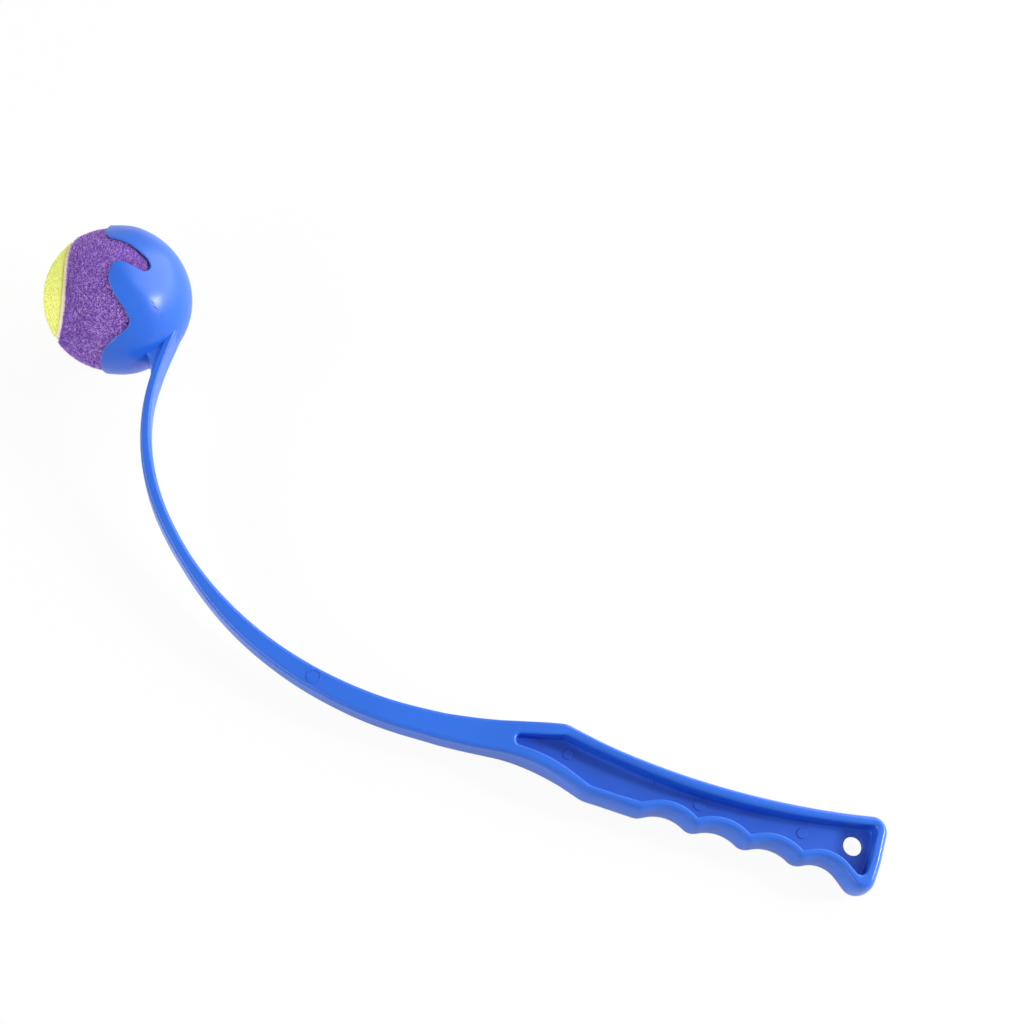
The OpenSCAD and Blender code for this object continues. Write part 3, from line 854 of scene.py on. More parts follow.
def stick_object():
    """Arm and grip as one closed skin."""
    points = []

    def add(ring):
        points.extend(ring)
        return len(points) - len(ring)

    near_rings, count = edge_rings(), len(outline)
    far_rings = [ring * (1, 1, -1) for ring in near_rings[-2::-1]]
    starts = [add(ring) for ring in near_rings + far_rings]
    faces = sewn(starts, count)
    arm_spine = raised(
        np.array([arm_line(distance)[0] for distance in arm_distances]),
        [arm_depth(distance) / 2 for distance in arm_distances])
    root_spine = raised(spine_places(), half_depth(spine_places()[:, 0]))
    recess = recess_rings()
    inner = np.vstack([arm_spine, root_spine, recess[0], root_spine[::-1], arm_spine[::-1]])
    for side, face_start in ((1, starts[0]), (-1, starts[-1])):
        faces += strip(face_start, add(inner * (1, 1, side)), count)
        rows = [add(ring * (1, 1, side)) for ring in recess]
        faces += sewn(rows, len(recess[0]), closed=False)
        border = recess[-1][:-1, :2]
        grid = floor_grid(border)
        grid_start = add(raised(grid, side * web_t / 2))
        at = [*range(rows[-1], rows[-1] + len(border)), *range(grid_start, grid_start + len(grid))]
        faces += [tuple(at[corner] for corner in face) for face in fill_triangles(border, grid)]
    return closed_object("stick", points, faces)


stick = stick_object()

# %% [markdown]
# ## Rim of the cup
# The cup is a thin ball shell with scalloped fingers that snap over the ball: a broad one on top, a
# hooked lobe on each side and one below. Its rim is a row of points on the ball, each an angle round
# the mouth and an angle from the mouth's axis. The line through them is sampled evenly and
# softened as the tool that cut the mould would have left it, and the second half mirrors the first.

# %% Rim of the cup
mouth_heading = 195.0
mouth_axis = np.array([*along(mouth_heading), 0])
mouth_up = np.array([*-left_of(mouth_heading), 0])
mouth_side = np.array([0, 0, -1.0])
rim_knots = (
    (0, 82.4), (22, 82.2), (42, 81.6), (50, 81.2), (56, 82.8), (60, 87), (61.4, 94.6), (63.6, 100.8),
    (68.5, 109.4), (74.2, 117.4), (79.2, 120.6), (84.6, 120), (88.2, 115.6), (86.4, 109), (84.4, 103.5),
    (82.8, 98), (83.4, 93.6), (87.8, 90.6), (94.6, 89.4), (100, 90), (106.5, 93), (112.9, 97),
    (118.5, 101.8), (123.5, 105.4), (128.8, 108), (133.6, 108.2), (138.1, 105.2), (143.9, 98.6),
    (151.3, 92), (160.9, 87.6), (171, 86), (180, 85.8),
)
rim_columns = 460
rim_softening = 5


def mouth_direction(round_mouth, edge):
    """Direction at an angle round the mouth and an angle from its axis, in degrees."""
    a, b = math.radians(round_mouth), math.radians(edge)
    return math.sin(b) * (math.cos(a) * mouth_up + math.sin(a) * mouth_side) + math.cos(b) * mouth_axis


def unit_rows(rows):
    """Rows of length 1."""
    return rows / np.linalg.norm(rows, axis=1)[:, None]


def rim_line():
    """Even directions along the rim, and the way from each into the wall of the cup."""
    near = [mouth_direction(turn, edge) for turn, edge in rim_knots]
    far = [mouth_direction(-turn, edge) for turn, edge in rim_knots[-2:0:-1]]
    knots = np.array([*near, *far, near[0]])
    steps = np.concatenate([[0], np.cumsum(np.linalg.norm(np.diff(knots, axis=0), axis=1))])
    even = np.linspace(0, steps[-1], rim_columns, endpoint=False)
    line = np.column_stack([np.interp(even, steps, knots[:, axis]) for axis in range(3)])
    for _ in range(rim_softening):
        line = unit_rows((np.roll(line, 1, axis=0) + 2 * line + np.roll(line, -1, axis=0)) / 4)
    inward = unit_rows(np.cross(np.roll(line, -1, axis=0) - np.roll(line, 1, axis=0), line))
    return line, inward if (inward @ mouth_axis).mean() < 0 else -inward


rim, rim_inward = rim_line()
print(f"The rim is {np.linalg.norm(np.diff(rim, axis=0), axis=1).sum() * cup_r:.0f} mm long")

# %% [markdown]
# ## Shell of the cup
# The side lobes overhang the notches, so rows from the rim to the back of the cup would cross. The wall
# is filled with even points instead, joined by a Delaunay triangulation on a flat map. Both skins share
# it. The outer skin thins towards the rim, where the fingers must spring, and a half round joins the
# two. A plain shell cut by a Boolean would end in a square rim.

# %% Wall of the cup
rim_round = 0.65
skin_step, rim_clear = 1.7, 0.7
mouth_open = 0.4


def rim_offset(distance):
    """Directions at a distance in millimetres from the rim, into the wall."""
    angle = distance / cup_r
    return math.cos(angle) * rim + math.sin(angle) * rim_inward


def even_directions():
    """Directions spread evenly over a ball, on a golden spiral."""
    count = int(4 * math.pi * (cup_r / skin_step) ** 2)
    k = np.arange(count) + 0.5
    height, turn = 1 - 2 * k / count, math.pi * (1 + 5 ** 0.5) * k
    level = np.sqrt(1 - height ** 2)
    return np.column_stack([level * np.cos(turn), level * np.sin(turn), height])


def flat_map(directions):
    """Stereographic map from the back of the cup, which keeps the shape of small triangles."""
    across = np.column_stack([directions @ mouth_up, directions @ mouth_side])
    return 2 * across / (1 - directions @ mouth_axis)[:, None]


def wall_triangles():
    """Directions over the wall, those on its border first, their distances from it, and triangles."""
    border, spread = rim_offset(rim_round), even_directions()
    spread = spread[spread @ mouth_axis < mouth_open]
    gaps = cup_r * np.arccos(np.clip((spread @ border.T).max(axis=1), -1, 1))
    clear = gaps > rim_clear * skin_step
    spread, gaps = spread[clear], gaps[clear]
    triangles = fill_triangles(flat_map(border), flat_map(spread))
    return np.vstack([border, spread]), np.concatenate([np.zeros(len(border)), gaps]), triangles


# %% Shell of the cup
cup_bore_r = 32.6
rim_thin, thin_reach = 0.80, 13.0
rim_angles = np.radians(np.linspace(0, 180, 11))


def cup_object():
    """The two skins of the cup, joined by a half round at the rim."""
    directions, gaps, triangles = wall_triangles()
    outer_r = cup_r - rim_thin * (1 - ease(gaps, 0, thin_reach))
    middle, half_wall = (cup_r - rim_thin + cup_bore_r) / 2, (cup_r - rim_thin - cup_bore_r) / 2
    rings = [
        (middle + half_wall * math.cos(angle)) * rim_offset(rim_round * (1 - math.sin(angle)))
        for angle in rim_angles[1:-1]
    ]
    size = len(directions)
    points = np.vstack([directions * outer_r[:, None], cup_bore_r * directions, *rings])
    faces = [tuple(face) for face in triangles]
    faces += [tuple(size + corner for corner in reversed(face)) for face in triangles]
    starts = [0, *(2 * size + k * rim_columns for k in range(len(rings))), size]
    faces += sewn(starts, rim_columns)
    return closed_object("cup_shell", points + np.array([*cup_centre, 0]), faces)


cup_shell = cup_object()

# %% [markdown]
# ## Gusset under the cup
# A small web fills the corner between the neck and the cup. Its free edge is a hollow arc that meets
# the neck smoothly, and its two edges are rounded like the neck's. A bevel can't follow the round of
# the cup there, so the web is a solid of its own that is united with the rest below.

# %% Gusset
gusset_r, gusset_half, gusset_edge = 6.0, 8.4, 0.9
gusset_arc = np.linspace(-0.2, 1.6, 16)
gusset_angles = np.radians(np.linspace(90, 0, 5))


def gusset_object():
    """The web as a stack of rings across the moulding."""
    foot = arm_line(arm_len - neck_tail / 2)[0]
    top = arm_line(arm_len + neck_tail)[0]
    rise, left = along(heading_end), left_of(heading_end)
    centre = foot + (arm_thick(arm_len) / 2 + gusset_r) * left - gusset_r / 3 * rise
    rings = []
    for angle in gusset_angles:
        radius = gusset_r + gusset_edge * (1 - math.cos(angle))
        height = gusset_half - gusset_edge * (1 - math.sin(angle))
        arc = [centre + radius * (math.sin(a) * rise - math.cos(a) * left) for a in gusset_arc]
        border = np.vstack([arc, top + cup_r / 2 * left, top, foot - gusset_r / 2 * rise])
        rings.append(raised(border, height))
    rings += [ring * (1, 1, -1) for ring in rings[::-1]]
    return stack_object("gusset", rings)


gusset = gusset_object()

# %% [markdown]
# ## Joining the moulding
# Cup, gusset and stick are one piece of plastic, so they are united with Boolean modifiers. The stick
# and gusset are first trimmed by a ball a little larger than the bore, which keeps the inside of the
# cup smooth. The hanging hole is cut with a spool, whose flared ends round the edges of the hole.

# %% Boolean helpers and cutters


def combine(target, other, operation):
    """Unites or subtracts another object, which is used up."""
    modifier = target.modifiers.new(operation, "BOOLEAN")
    modifier.operation, modifier.solver, modifier.object = operation, "MANIFOLD", other
    evaluated = target.evaluated_get(bpy.context.evaluated_depsgraph_get())
    result = bpy.data.meshes.new_from_object(evaluated)
    target.modifiers.clear()
    target.data = result
    bpy.data.objects.remove(other)


def turned_object(name, profile, place, sides=64):
    """A closed solid turned about w through a place, from a profile of radii and heights."""
    angles = np.linspace(0, 2 * np.pi, sides, endpoint=False)
    circle = np.column_stack([np.cos(angles), np.sin(angles)])
    return stack_object(
        name, [raised(np.array(place) + radius * circle, height) for radius, height in profile])


def ball_object(name, radius):
    """A fine ball in the middle of the cup."""
    made = bpy.data.objects.new(name, bpy.data.meshes.new(name))
    work = bmesh.new()
    centre = Matrix.Translation((*cup_centre, 0))
    bmesh.ops.create_icosphere(work, subdivisions=5, radius=radius, matrix=centre)
    work.to_mesh(made.data)
    work.free()
    scene.collection.objects.link(made)
    return made


# %% Unite the moulding and cut the hole
bore_clearance = 0.6
hole_r, hole_from_butt, hole_v, hole_edge = 4.2, 12.4, 5.4, 0.5
hole_angles = np.radians(np.linspace(90, 0, 6))
cut_past = 1.0


def hole_profile():
    """Spool with flared ends, from above the web to below it."""
    upper = [(hole_r + hole_edge, web_t / 2 + cut_past)]
    for angle in hole_angles:
        radius = hole_r + hole_edge * (1 - math.cos(angle))
        upper.append((radius, web_t / 2 - hole_edge * (1 - math.sin(angle))))
    return upper + [(radius, -height) for radius, height in upper[::-1]]


for solid in (stick, gusset):
    combine(solid, ball_object("bore", cup_bore_r + bore_clearance), "DIFFERENCE")
combine(cup_shell, gusset, "UNION")
combine(stick, cup_shell, "UNION")
hole = turned_object("hole", hole_profile(), (handle_len - hole_from_butt, hole_v))
combine(stick, hole, "DIFFERENCE")
print(len(stick.data.polygons), "faces in the moulding")

# %% [markdown]
# ## Marks of the mould
# Pins push the part out of its mould and leave marks: a thin ring on the side of the arm, low round
# pads on the floor of the recess and a small pip between them. They are only on the half of the mould
# that has the pins. They are real steps in the mesh, because a step catches light from every side and a
# painted ring doesn't.

# %% Pin marks
pad_r, pad_height, pad_edge = 2.5, 0.32, 0.26
pad_places = ((24.6, 2.5), (84.4, 0.2), (130.2, 3.3))
pip_place, pip_r, pip_height = (62.8, 2.9), 0.7, 0.5
pip_shoulder, pip_top = 0.7, 0.1
mark_root = 0.5
floor = web_t / 2
pad_profile = (
    (pad_r, floor - mark_root),
    (pad_r, floor + pad_height - pad_edge),
    (pad_r - pad_edge, floor + pad_height),
)
for place in pad_places:
    combine(stick, turned_object("pin_pad", pad_profile, place), "UNION")
pip_profile = (
    (pip_r, floor - mark_root),
    (pip_r, floor),
    (pip_shoulder * pip_r, floor + pip_shoulder * pip_height),
    (pip_top * pip_r, floor + pip_height),
)
combine(stick, turned_object("pip", pip_profile, pip_place, sides=24), "UNION")
print("Pads and pip united:", len(stick.data.polygons), "faces")

# %% Ring on the arm
ring_from_handle, ring_r, ring_w, ring_height, ring_dip = 89.9, 2.9, 0.6, 0.30, 0.05
ring_place = arm_line(ring_from_handle)[0]
arm_face = arm_depth(ring_from_handle) / 2
ring_profile = (
    (ring_r + ring_w / 2, arm_face - mark_root),
    (ring_r + ring_w / 2, arm_face),
    (ring_r + ring_w / 4, arm_face + ring_height),
    (ring_r - ring_w / 4, arm_face + ring_height),
    (ring_r - ring_w / 2, arm_face - ring_dip),
)
combine(stick, turned_object("pin_ring", ring_profile, ring_place), "UNION")
print("Ring united:", len(stick.data.polygons), "faces")

# %% [markdown]
# ## Blue plastic
# The moulding is a tough, slightly waxy plastic with a satin gloss. Its colour is nearly even, so the
# finish does the work: roughness that drifts, a grain too fine to see singly, and faint scuffs that
# scatter light and look paler than the plastic round them. The recess is painted darker, as shade that
# grows with its depth, and is more matt, because the hand doesn't polish it; an attribute of the mesh
# says how much. The top finger has been rubbed, and three scratches run over the side of the cup. They
# could be painted on a picture, but a group that measures the distance from a line stays sharp at any
# scale.

# %% Scratch group
scratch_edge = 0.00015


def scratch_group():
    """Mask of one scratch, which tapers to both of its ends."""
    group, given, result = node_group(
        "Scratch",
        [
            ("Vector", "NodeSocketVector", None),
            ("Start", "NodeSocketVector", None),
            ("End", "NodeSocketVector", None),
            ("Width", "NodeSocketFloat", 0.0003),
        ],
        [("Mask", "NodeSocketFloat")],
    )
    place, start, end = (given.outputs[name] for name in ("Vector", "Start", "End"))
    run = vector_math(group, "SUBTRACT", end, start)
    reach = vector_math(group, "SUBTRACT", place, start)
    part = vector_math(group, "DOT_PRODUCT", reach, run, "Value")
    whole = vector_math(group, "DOT_PRODUCT", run, run, "Value")
    share = remap(group, calculate(group, "DIVIDE", part, whole), 0.0, 1.0)
    nearest = node(group, "ShaderNodeVectorMath", {0: run, "Scale": share}, operation="SCALE")
    gap = vector_math(group, "DISTANCE", reach, nearest.outputs[0], "Value")
    left = calculate(group, "SUBTRACT", 1.0, share)
    taper = calculate(group, "MULTIPLY", calculate(group, "MULTIPLY", share, left), 4.0)
    width = calculate(group, "MULTIPLY", given.outputs["Width"], taper)
    inside = calculate(group, "SUBTRACT", width, gap)
    group.links.new(remap(group, inside, 0.0, scratch_edge), result.inputs["Mask"])
    return group


scratch = scratch_group()
print("Made the group", scratch.name)

# %% Blue plastic
blue_deep = (0.014, 0.124, 0.650, 1.0)
blue_pale = (0.018, 0.146, 0.720, 1.0)
# The recess colour below is painted shade, mixed in by how deep a point lies in the recess.
blue_painted_recess_shade = (0.012, 0.109, 0.590, 1.0)
blue_scuffed = (0.080, 0.250, 0.860, 1.0)
blue_scratched = (0.004, 0.016, 0.090, 1.0)
scuff_share, scratch_share = 0.3, 0.8
satin, worn_rougher, recess_rougher, worn_height = (0.30, 0.36), 0.2, 0.1, -0.8
long_scuffs = {"Scale": 1500.0, "Turn": 0.5, "Cut": 0.68}
cross_scuffs = {"Scale": 1200.0, "Turn": -0.9, "Cut": 0.70}
rub_scuffs = {"Scale": 1300.0, "Turn": 0.2, "Cut": 0.54}
rubbed_at, rubbed_reach, rubbed_core = (-42, 92), 15.0, 0.4
scratches = (
    ((-112.3, 122.6), (-116.4, 126.6), 0.34),
    ((-116.2, 123.8), (-121.8, 130.6), 0.42),
    ((-122.9, 130.8), (-130.9, 134.9), 0.26),
)


def on_cup(turns):
    """Place on the cup's outer skin, on the ground and in metres."""
    return laid @ Vector((*(np.array([*cup_centre, 0]) + cup_r * mouth_direction(*turns)),))


def scuff_mask(tree, coordinates):
    """Scuffs that run two ways over the whole moulding, and more of them where it is rubbed."""
    along_arm, across_arm, rubs = (
        fill_group(tree, scuff_lines, {"Vector": coordinates, **look}).outputs["Mask"]
        for look in (long_scuffs, cross_scuffs, rub_scuffs)
    )
    from_rub = vector_math(tree, "DISTANCE", coordinates, on_cup(rubbed_at), "Value")
    near_rub = remap(tree, from_rub, rubbed_reach * MM, rubbed_core * rubbed_reach * MM)
    scuffed = calculate(tree, "MAXIMUM", along_arm, across_arm)
    return calculate(tree, "MAXIMUM", scuffed, calculate(tree, "MULTIPLY", rubs, near_rub))


def scratch_mask(tree, coordinates):
    """All the scratches on the cup."""
    scratched = 0.0
    for start, end, width in scratches:
        line = fill_group(tree, scratch, {
            "Vector": coordinates, "Start": on_cup(start), "End": on_cup(end), "Width": width * MM})
        scratched = calculate(tree, "MAXIMUM", scratched, line.outputs["Mask"])
    return scratched


def blue_plastic():
    """Satin plastic with its grain, scuffs and scratches, and a matt recess with painted shade."""
    material, tree, shader, coordinates = new_material("blue_plastic")
    grain = fill_group(tree, moulded_grain, {"Vector": coordinates, "Scale": 1100.0})
    scuffed, scratched = scuff_mask(tree, coordinates), scratch_mask(tree, coordinates)
    worn = calculate(tree, "MAXIMUM", scuffed, scratched)
    recess_shade_and_matt = node(tree, "ShaderNodeAttribute", attribute_name="recess_shade_and_matt").outputs["Fac"]
    colour = mix_colours(tree, grain.outputs["Drift"], blue_deep, blue_pale)
    # Painted shade: the recess is darkened by how deep it lies.
    colour = mix_colours(tree, recess_shade_and_matt, colour, blue_painted_recess_shade)
    paler = calculate(tree, "MULTIPLY", scuffed, scuff_share)
    darker = calculate(tree, "MULTIPLY", scratched, scratch_share)
    colour = mix_colours(tree, paler, colour, blue_scuffed)
    colour = mix_colours(tree, darker, colour, blue_scratched)
    tree.links.new(colour, shader.inputs["Base Color"])
    rough = remap(tree, grain.outputs["Drift"], *noise_range, *satin)
    rough = calculate(tree, "MULTIPLY_ADD", recess_shade_and_matt, recess_rougher, rough)
    rough = calculate(tree, "MULTIPLY_ADD", worn, worn_rougher, rough)
    tree.links.new(rough, shader.inputs["Roughness"])
    height = calculate(tree, "MULTIPLY_ADD", worn, worn_height, grain.outputs["Height"])
    add_bump(tree, shader, height, strength=0.10, distance=0.0002)
    shader.inputs["Specular IOR Level"].default_value = 0.50
    return material


plastic = blue_plastic()
print("Made", plastic.name)

# %% [markdown]
# ## Finishing the moulding
# The Booleans leave some points a hair apart, which are merged first. Each point then notes how deep it
# lies in the recess, for the painted shade and the matt finish there. Faces that nearly line up are
# shaded smooth and the rest keep a crease. Where the arm joins the cup, the union leaves odd triangles,
# so on the cup each corner is given the true normal of the ball. Last the mesh is laid on the ground,
# because a finished piece keeps its place in its mesh.

# %% Finishing helpers
crease_angle = math.radians(38)
on_ball, sliver = 0.02, 0.002


def rows_of(collection, name):
    """The vectors of a mesh's collection as rows of numbers."""
    rows = np.zeros((len(collection), 3))
    collection.foreach_get(name, rows.ravel())
    return rows


def shade_moulding(mesh):
    """Smooth shading with creases, and exact ball normals on the cup's two skins."""
    mesh.shade_smooth()
    mesh.set_sharp_from_angle(angle=crease_angle)
    normals = rows_of(mesh.corner_normals, "vector")
    from_centre = rows_of(mesh.vertices, "co") - np.array([*cup_centre, 0])
    distance = np.linalg.norm(from_centre, axis=1)
    for skin_r, sign in ((cup_r, 1), (cup_bore_r, -1)):
        close = np.abs(distance - skin_r) < on_ball
        for face in mesh.polygons:
            if close[list(face.vertices)].all():
                for corner in face.loop_indices:
                    vertex = mesh.loops[corner].vertex_index
                    normals[corner] = sign * from_centre[vertex] / distance[vertex]
    mesh.normals_split_custom_set(normals.tolist())


def mark_recess(mesh):
    """Notes on each point how deep it lies in the recess, from 0 at the lip to 1 on the floor."""
    u, v, w = rows_of(mesh.vertices, "co").T
    border = recess_places(rim_w)
    inside = np.zeros(len(u), bool)
    for (u_1, v_1), (u_2, v_2) in zip(border, np.roll(border, -1, axis=0)):
        if v_1 != v_2:
            inside ^= ((v_1 > v) != (v_2 > v)) & (u < u_1 + (v - v_1) * (u_2 - u_1) / (v_2 - v_1))
    sunk = np.clip((half_depth(u) - np.abs(w)) / (handle_depth / 2 - web_t / 2), 0, 1)
    # This value darkens the recess as painted shade and makes it more matt.
    mesh.attributes.new("recess_shade_and_matt", "FLOAT", "POINT").data.foreach_set("value", inside * sunk)
    print(int(inside.sum()), "points lie in the recess")


def without_slivers(mesh):
    """Merges the points that the cuts left a hair apart, and prints what is left open."""
    work = bmesh.new()
    work.from_mesh(mesh)
    bmesh.ops.remove_doubles(work, verts=work.verts, dist=sliver)
    bmesh.ops.dissolve_degenerate(work, edges=work.edges, dist=sliver)
    loose = sum(not edge.is_manifold for edge in work.edges)
    work.to_mesh(mesh)
    work.free()
    print(len(mesh.polygons), "faces in the moulding,", loose, "open edges")


# %% Finish the moulding
moulding = stick
without_slivers(moulding.data)
mark_recess(moulding.data)
moulding.name = moulding.data.name = "launcher_moulding"
shade_moulding(moulding.data)
moulding.data.transform(laid)
moulding.data.materials.clear()
moulding.data.materials.append(plastic)
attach(moulding, "launcher")
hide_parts("cup", "arm", "handle")
moulding_triangles = sum(len(face.vertices) - 2 for face in moulding.data.polygons)
print("The moulding has", moulding_triangles, "triangles")

# %% [markdown]
# ## Felt
# The ball's cover is a needled felt: short fibres that lie every way over a ground painted in the dark
# tone, as the shade in the pits between them. One material serves the ground and the nap. Each fibre
# carries a tint, a number from 0 to 1, and the ground has none, so it takes the dark end, painted
# shade. A slow mottle on top keeps the felt from looking printed.

# %% Felt materials
fibre_share = 6.0
middle_tint = 0.55


def felt_mottle_group():
    """Mask of slow mottles, and the height of fine fibres."""
    group, given, result = node_group(
        "Felt mottle",
        [("Vector", "NodeSocketVector", None), ("Scale", "NodeSocketFloat", 300.0)],
        [("Mask", "NodeSocketFloat"), ("Height", "NodeSocketFloat")],
    )
    place, scale = given.outputs["Vector"], given.outputs["Scale"]
    slow = noise_value(group, place, scale, Detail=2.0)
    fine = noise_value(group, place, calculate(group, "MULTIPLY", scale, fibre_share), Detail=2.0)
    group.links.new(remap(group, slow, *noise_range), result.inputs["Mask"])
    group.links.new(fine, result.inputs["Height"])
    return group


felt_mottle = felt_mottle_group()


def felt(name, dark_tone_and_pit_shade, middle, light, mottle, sheen):
    """Felt from three tones, the darkest also painted shade on the bare ground, darker in its mottles by
    a share, with a sheen at its edges.
    """
    material, tree, shader, coordinates = new_material(name)
    tint = node(tree, "ShaderNodeAttribute", attribute_name="tint").outputs["Fac"]
    mottled = fill_group(tree, felt_mottle, {"Vector": coordinates, "Scale": 260.0})
    # Tint 0, the bare ground between the fibres, takes the dark tone as painted shade.
    lower = mix_colours(tree, remap(tree, tint, 0.0, middle_tint), dark_tone_and_pit_shade, middle)
    shade = mix_colours(tree, remap(tree, tint, middle_tint, 1.0), lower, light)
    deep = mix_colours(tree, mottle, shade, dark_tone_and_pit_shade)
    tree.links.new(mix_colours(tree, mottled.outputs["Mask"], deep, shade), shader.inputs["Base Color"])
    add_bump(tree, shader, mottled.outputs["Height"], strength=0.6, distance=0.0003)
    shader.inputs["Roughness"].default_value = 0.95
    shader.inputs["Sheen Weight"].default_value = sheen
    shader.inputs["Specular IOR Level"].default_value = 0.05
    return material


purple_tones = (0.180, 0.070, 0.440, 1), (0.600, 0.310, 0.950, 1), (0.920, 0.700, 1.000, 1)
yellow_tones = (0.930, 0.970, 0.270, 1), (0.950, 0.990, 0.350, 1), (0.970, 1.000, 0.450, 1)
purple = felt("purple_felt", *purple_tones, mottle=0.38, sheen=0.08)
yellow = felt("yellow_felt", *yellow_tones, mottle=0.04, sheen=0.08)
print("Felts:", purple.name, yellow.name)

# %% [markdown]
# ## Felt panels
# The two panels have the same dumbbell shape and meet along a wave that goes round the ball. The wave
# is a curve on the unit ball, and moving it sideways gives the edge of a panel, so the rolled edge
# stays even all the way. A ball cut in two by a Boolean would need its edges rolled afterwards. A panel
# is a closed shell: felt outside, a rolled edge, and the glued inside.

# %% Seam line
ball_r = 32.0
seam_wave = 0.25
turn_x, turn_y, turn_z = (math.radians(turn) for turn in (38, 27.6, -29.5))
ball_turn = np.array(
    Matrix.Rotation(turn_z, 3, "Z") @ Matrix.Rotation(turn_y, 3, "Y") @ Matrix.Rotation(turn_x, 3, "X")
)
seam_columns = 400
seam_angles = np.linspace(0, 2 * np.pi, seam_columns, endpoint=False)


def seam_line():
    """Directions along the seam, and the way from each into the purple panel."""
    a, b, c = 1 - seam_wave, seam_wave, 2 * math.sqrt((1 - seam_wave) * seam_wave)
    t = seam_angles
    line = np.column_stack([
        a * np.cos(t) + b * np.cos(3 * t),
        a * np.sin(t) - b * np.sin(3 * t),
        c * np.sin(2 * t),
    ])
    way = np.column_stack([
        -a * np.sin(t) - 3 * b * np.sin(3 * t),
        a * np.cos(t) - 3 * b * np.cos(3 * t),
        2 * c * np.cos(2 * t),
    ])
    return line, np.cross(line, unit_rows(way))


seam, seam_side = seam_line()


def seam_offset(distance):
    """Directions at a distance in millimetres from the seam, into the purple panel."""
    angle = distance / ball_r
    return math.cos(angle) * seam + math.sin(angle) * seam_side


def on_ball_place(directions):
    """From the ball's own frame to the launcher's plane."""
    return directions @ ball_turn.T + np.array([*cup_centre, 0])


print(f"The seam is {np.linalg.norm(np.diff(seam, axis=0), axis=1).sum() * ball_r:.0f} mm long")

# %% Panels
nap_rise = 0.15
core_r, ground_r = 28.8, ball_r - nap_rise
seam_half, roll_w, roll_deep = 1.2, 1.3, 1.1
panel_rows = 60
roll_steps = np.linspace(0, 1, 7)[1:]
inside_shares = np.linspace(0.1, 0.9, 9)
unevenness, broad_scale, fine_scale, fine_share = 0.12, 30, 75, 0.6
half_turn = np.diag([-1.0, 1.0, -1.0])


def uneven(directions, radius):
    """Directions at a radius that wanders a little, as felt does."""
    wander = np.array([
        noise.noise(Vector(broad_scale * d)) + fine_share * noise.noise(Vector(fine_scale * d))
        for d in directions
    ])
    return directions * (radius + unevenness * wander)[:, None]


def panel_object(name, turn, material):
    """One panel, from the pole of its felt over its rolled edge to the pole of its inside."""
    pole = np.array([0, 0, 1.0])
    start = seam_offset(seam_half + roll_w)
    whole = np.arccos(start @ pole)[:, None]

    def directions(share):
        return (np.sin((1 - share) * whole) * start + np.sin(share * whole) * pole) / np.sin(whole)

    shares = np.arange(panel_rows) / panel_rows
    rings = [uneven(directions(share), ground_r) for share in shares[::-1]]
    for across in roll_steps:
        drop = roll_deep * (1 - math.sqrt(1 - across ** 2))
        rings.append(uneven(seam_offset(seam_half + roll_w * (1 - across)), ground_r - drop))
    rings.append(core_r * seam_offset(seam_half))
    rings += [core_r * directions(share) for share in inside_shares]
    points = np.vstack([*rings, uneven(pole[None], ground_r), core_r * pole[None]])
    count, last = seam_columns, (len(rings) - 1) * seam_columns
    faces = sewn(range(0, last + count, count), count)
    faces += [((k + 1) % count, k, len(points) - 2) for k in range(count)]
    faces += [(last + k, last + (k + 1) % count, len(points) - 1) for k in range(count)]
    made = closed_object(name, on_ball_place(points @ turn.T), faces)
    made.data.transform(laid)
    made.data.shade_smooth()
    made.data.materials.append(material)
    return made


purple_panel = panel_object("purple_panel", np.eye(3), purple)
yellow_panel = panel_object("yellow_panel", half_turn, yellow)
for panel, replaced, slot in (
    (purple_panel, "felt_purple", "purple_felt"),
    (yellow_panel, "felt_yellow", "yellow_felt"),
):
    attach(panel, "ball")
    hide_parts(replaced)

# %% [markdown]
# ## Nap of the felt
# Thousands of short fibres lie over each panel. Geometry Nodes scatter them: points on the felt, one
# bent fibre on each point, laid over to one of two crossing ways as needling leaves them. A hair
# system would do too, but its strands would have to be made a mesh afterwards. A fibre is five
# vertices, because at this scale only its length, its lean and its tint can be seen.

# %% Fibre
fibre_length, fibre_width, fibre_bend = 1.2, 0.44, 0.22


def fibre_object():
    """One bent fibre along z, with a pointed root and tip, in metres."""
    radius, half_length = fibre_width / 2, 0.5 * fibre_length
    belly = [
        (radius * math.cos(angle) + fibre_bend, radius * math.sin(angle), half_length)
        for angle in np.radians([90, 210, 330])
    ]
    points = np.array([(0, 0, 0), *belly, (0, 0, fibre_length)]) * MM
    sides = ((0, 2, 1), (0, 3, 2), (0, 1, 3), (4, 1, 2), (4, 2, 3), (4, 3, 1))
    mesh = bpy.data.meshes.new("fibre")
    mesh.from_pydata(points.tolist(), [], sides)
    made = bpy.data.objects.new("fibre", mesh)
    scene.collection.objects.link(made)
    return made


fibre = fibre_object()
print("One fibre has", len(fibre.data.polygons), "faces")

# %% Geometry Nodes helpers


def geometry_tree(name, inputs):
    """A Geometry Nodes tree with its named inputs, and its input and output nodes."""
    tree = bpy.data.node_groups.new(name, "GeometryNodeTree")
    for socket_name, kind in (("Geometry", "Geometry"), *inputs):
        tree.interface.new_socket(socket_name, in_out="INPUT", socket_type="NodeSocket" + kind)
    tree.interface.new_socket("Geometry", in_out="OUTPUT", socket_type="NodeSocketGeometry")
    return tree, tree.nodes.new("NodeGroupInput"), tree.nodes.new("NodeGroupOutput")


def end_tree(tree, geometry, material, result):
    """Ends a tree: instances become real and get their material."""
    whole = node(tree, "GeometryNodeRealizeInstances", {"Geometry": geometry})
    dressed = node(tree, "GeometryNodeSetMaterial", {
        "Geometry": whole.outputs[0], "Material": material})
    tree.links.new(dressed.outputs[0], result.inputs[0])


def set_input(modifier, name, value):
    """Sets a modifier's input by the identifier of its socket."""
    for socket in modifier.node_group.interface.items_tree:
        if socket.in_out == "INPUT" and socket.name == name:
            modifier[socket.identifier] = value


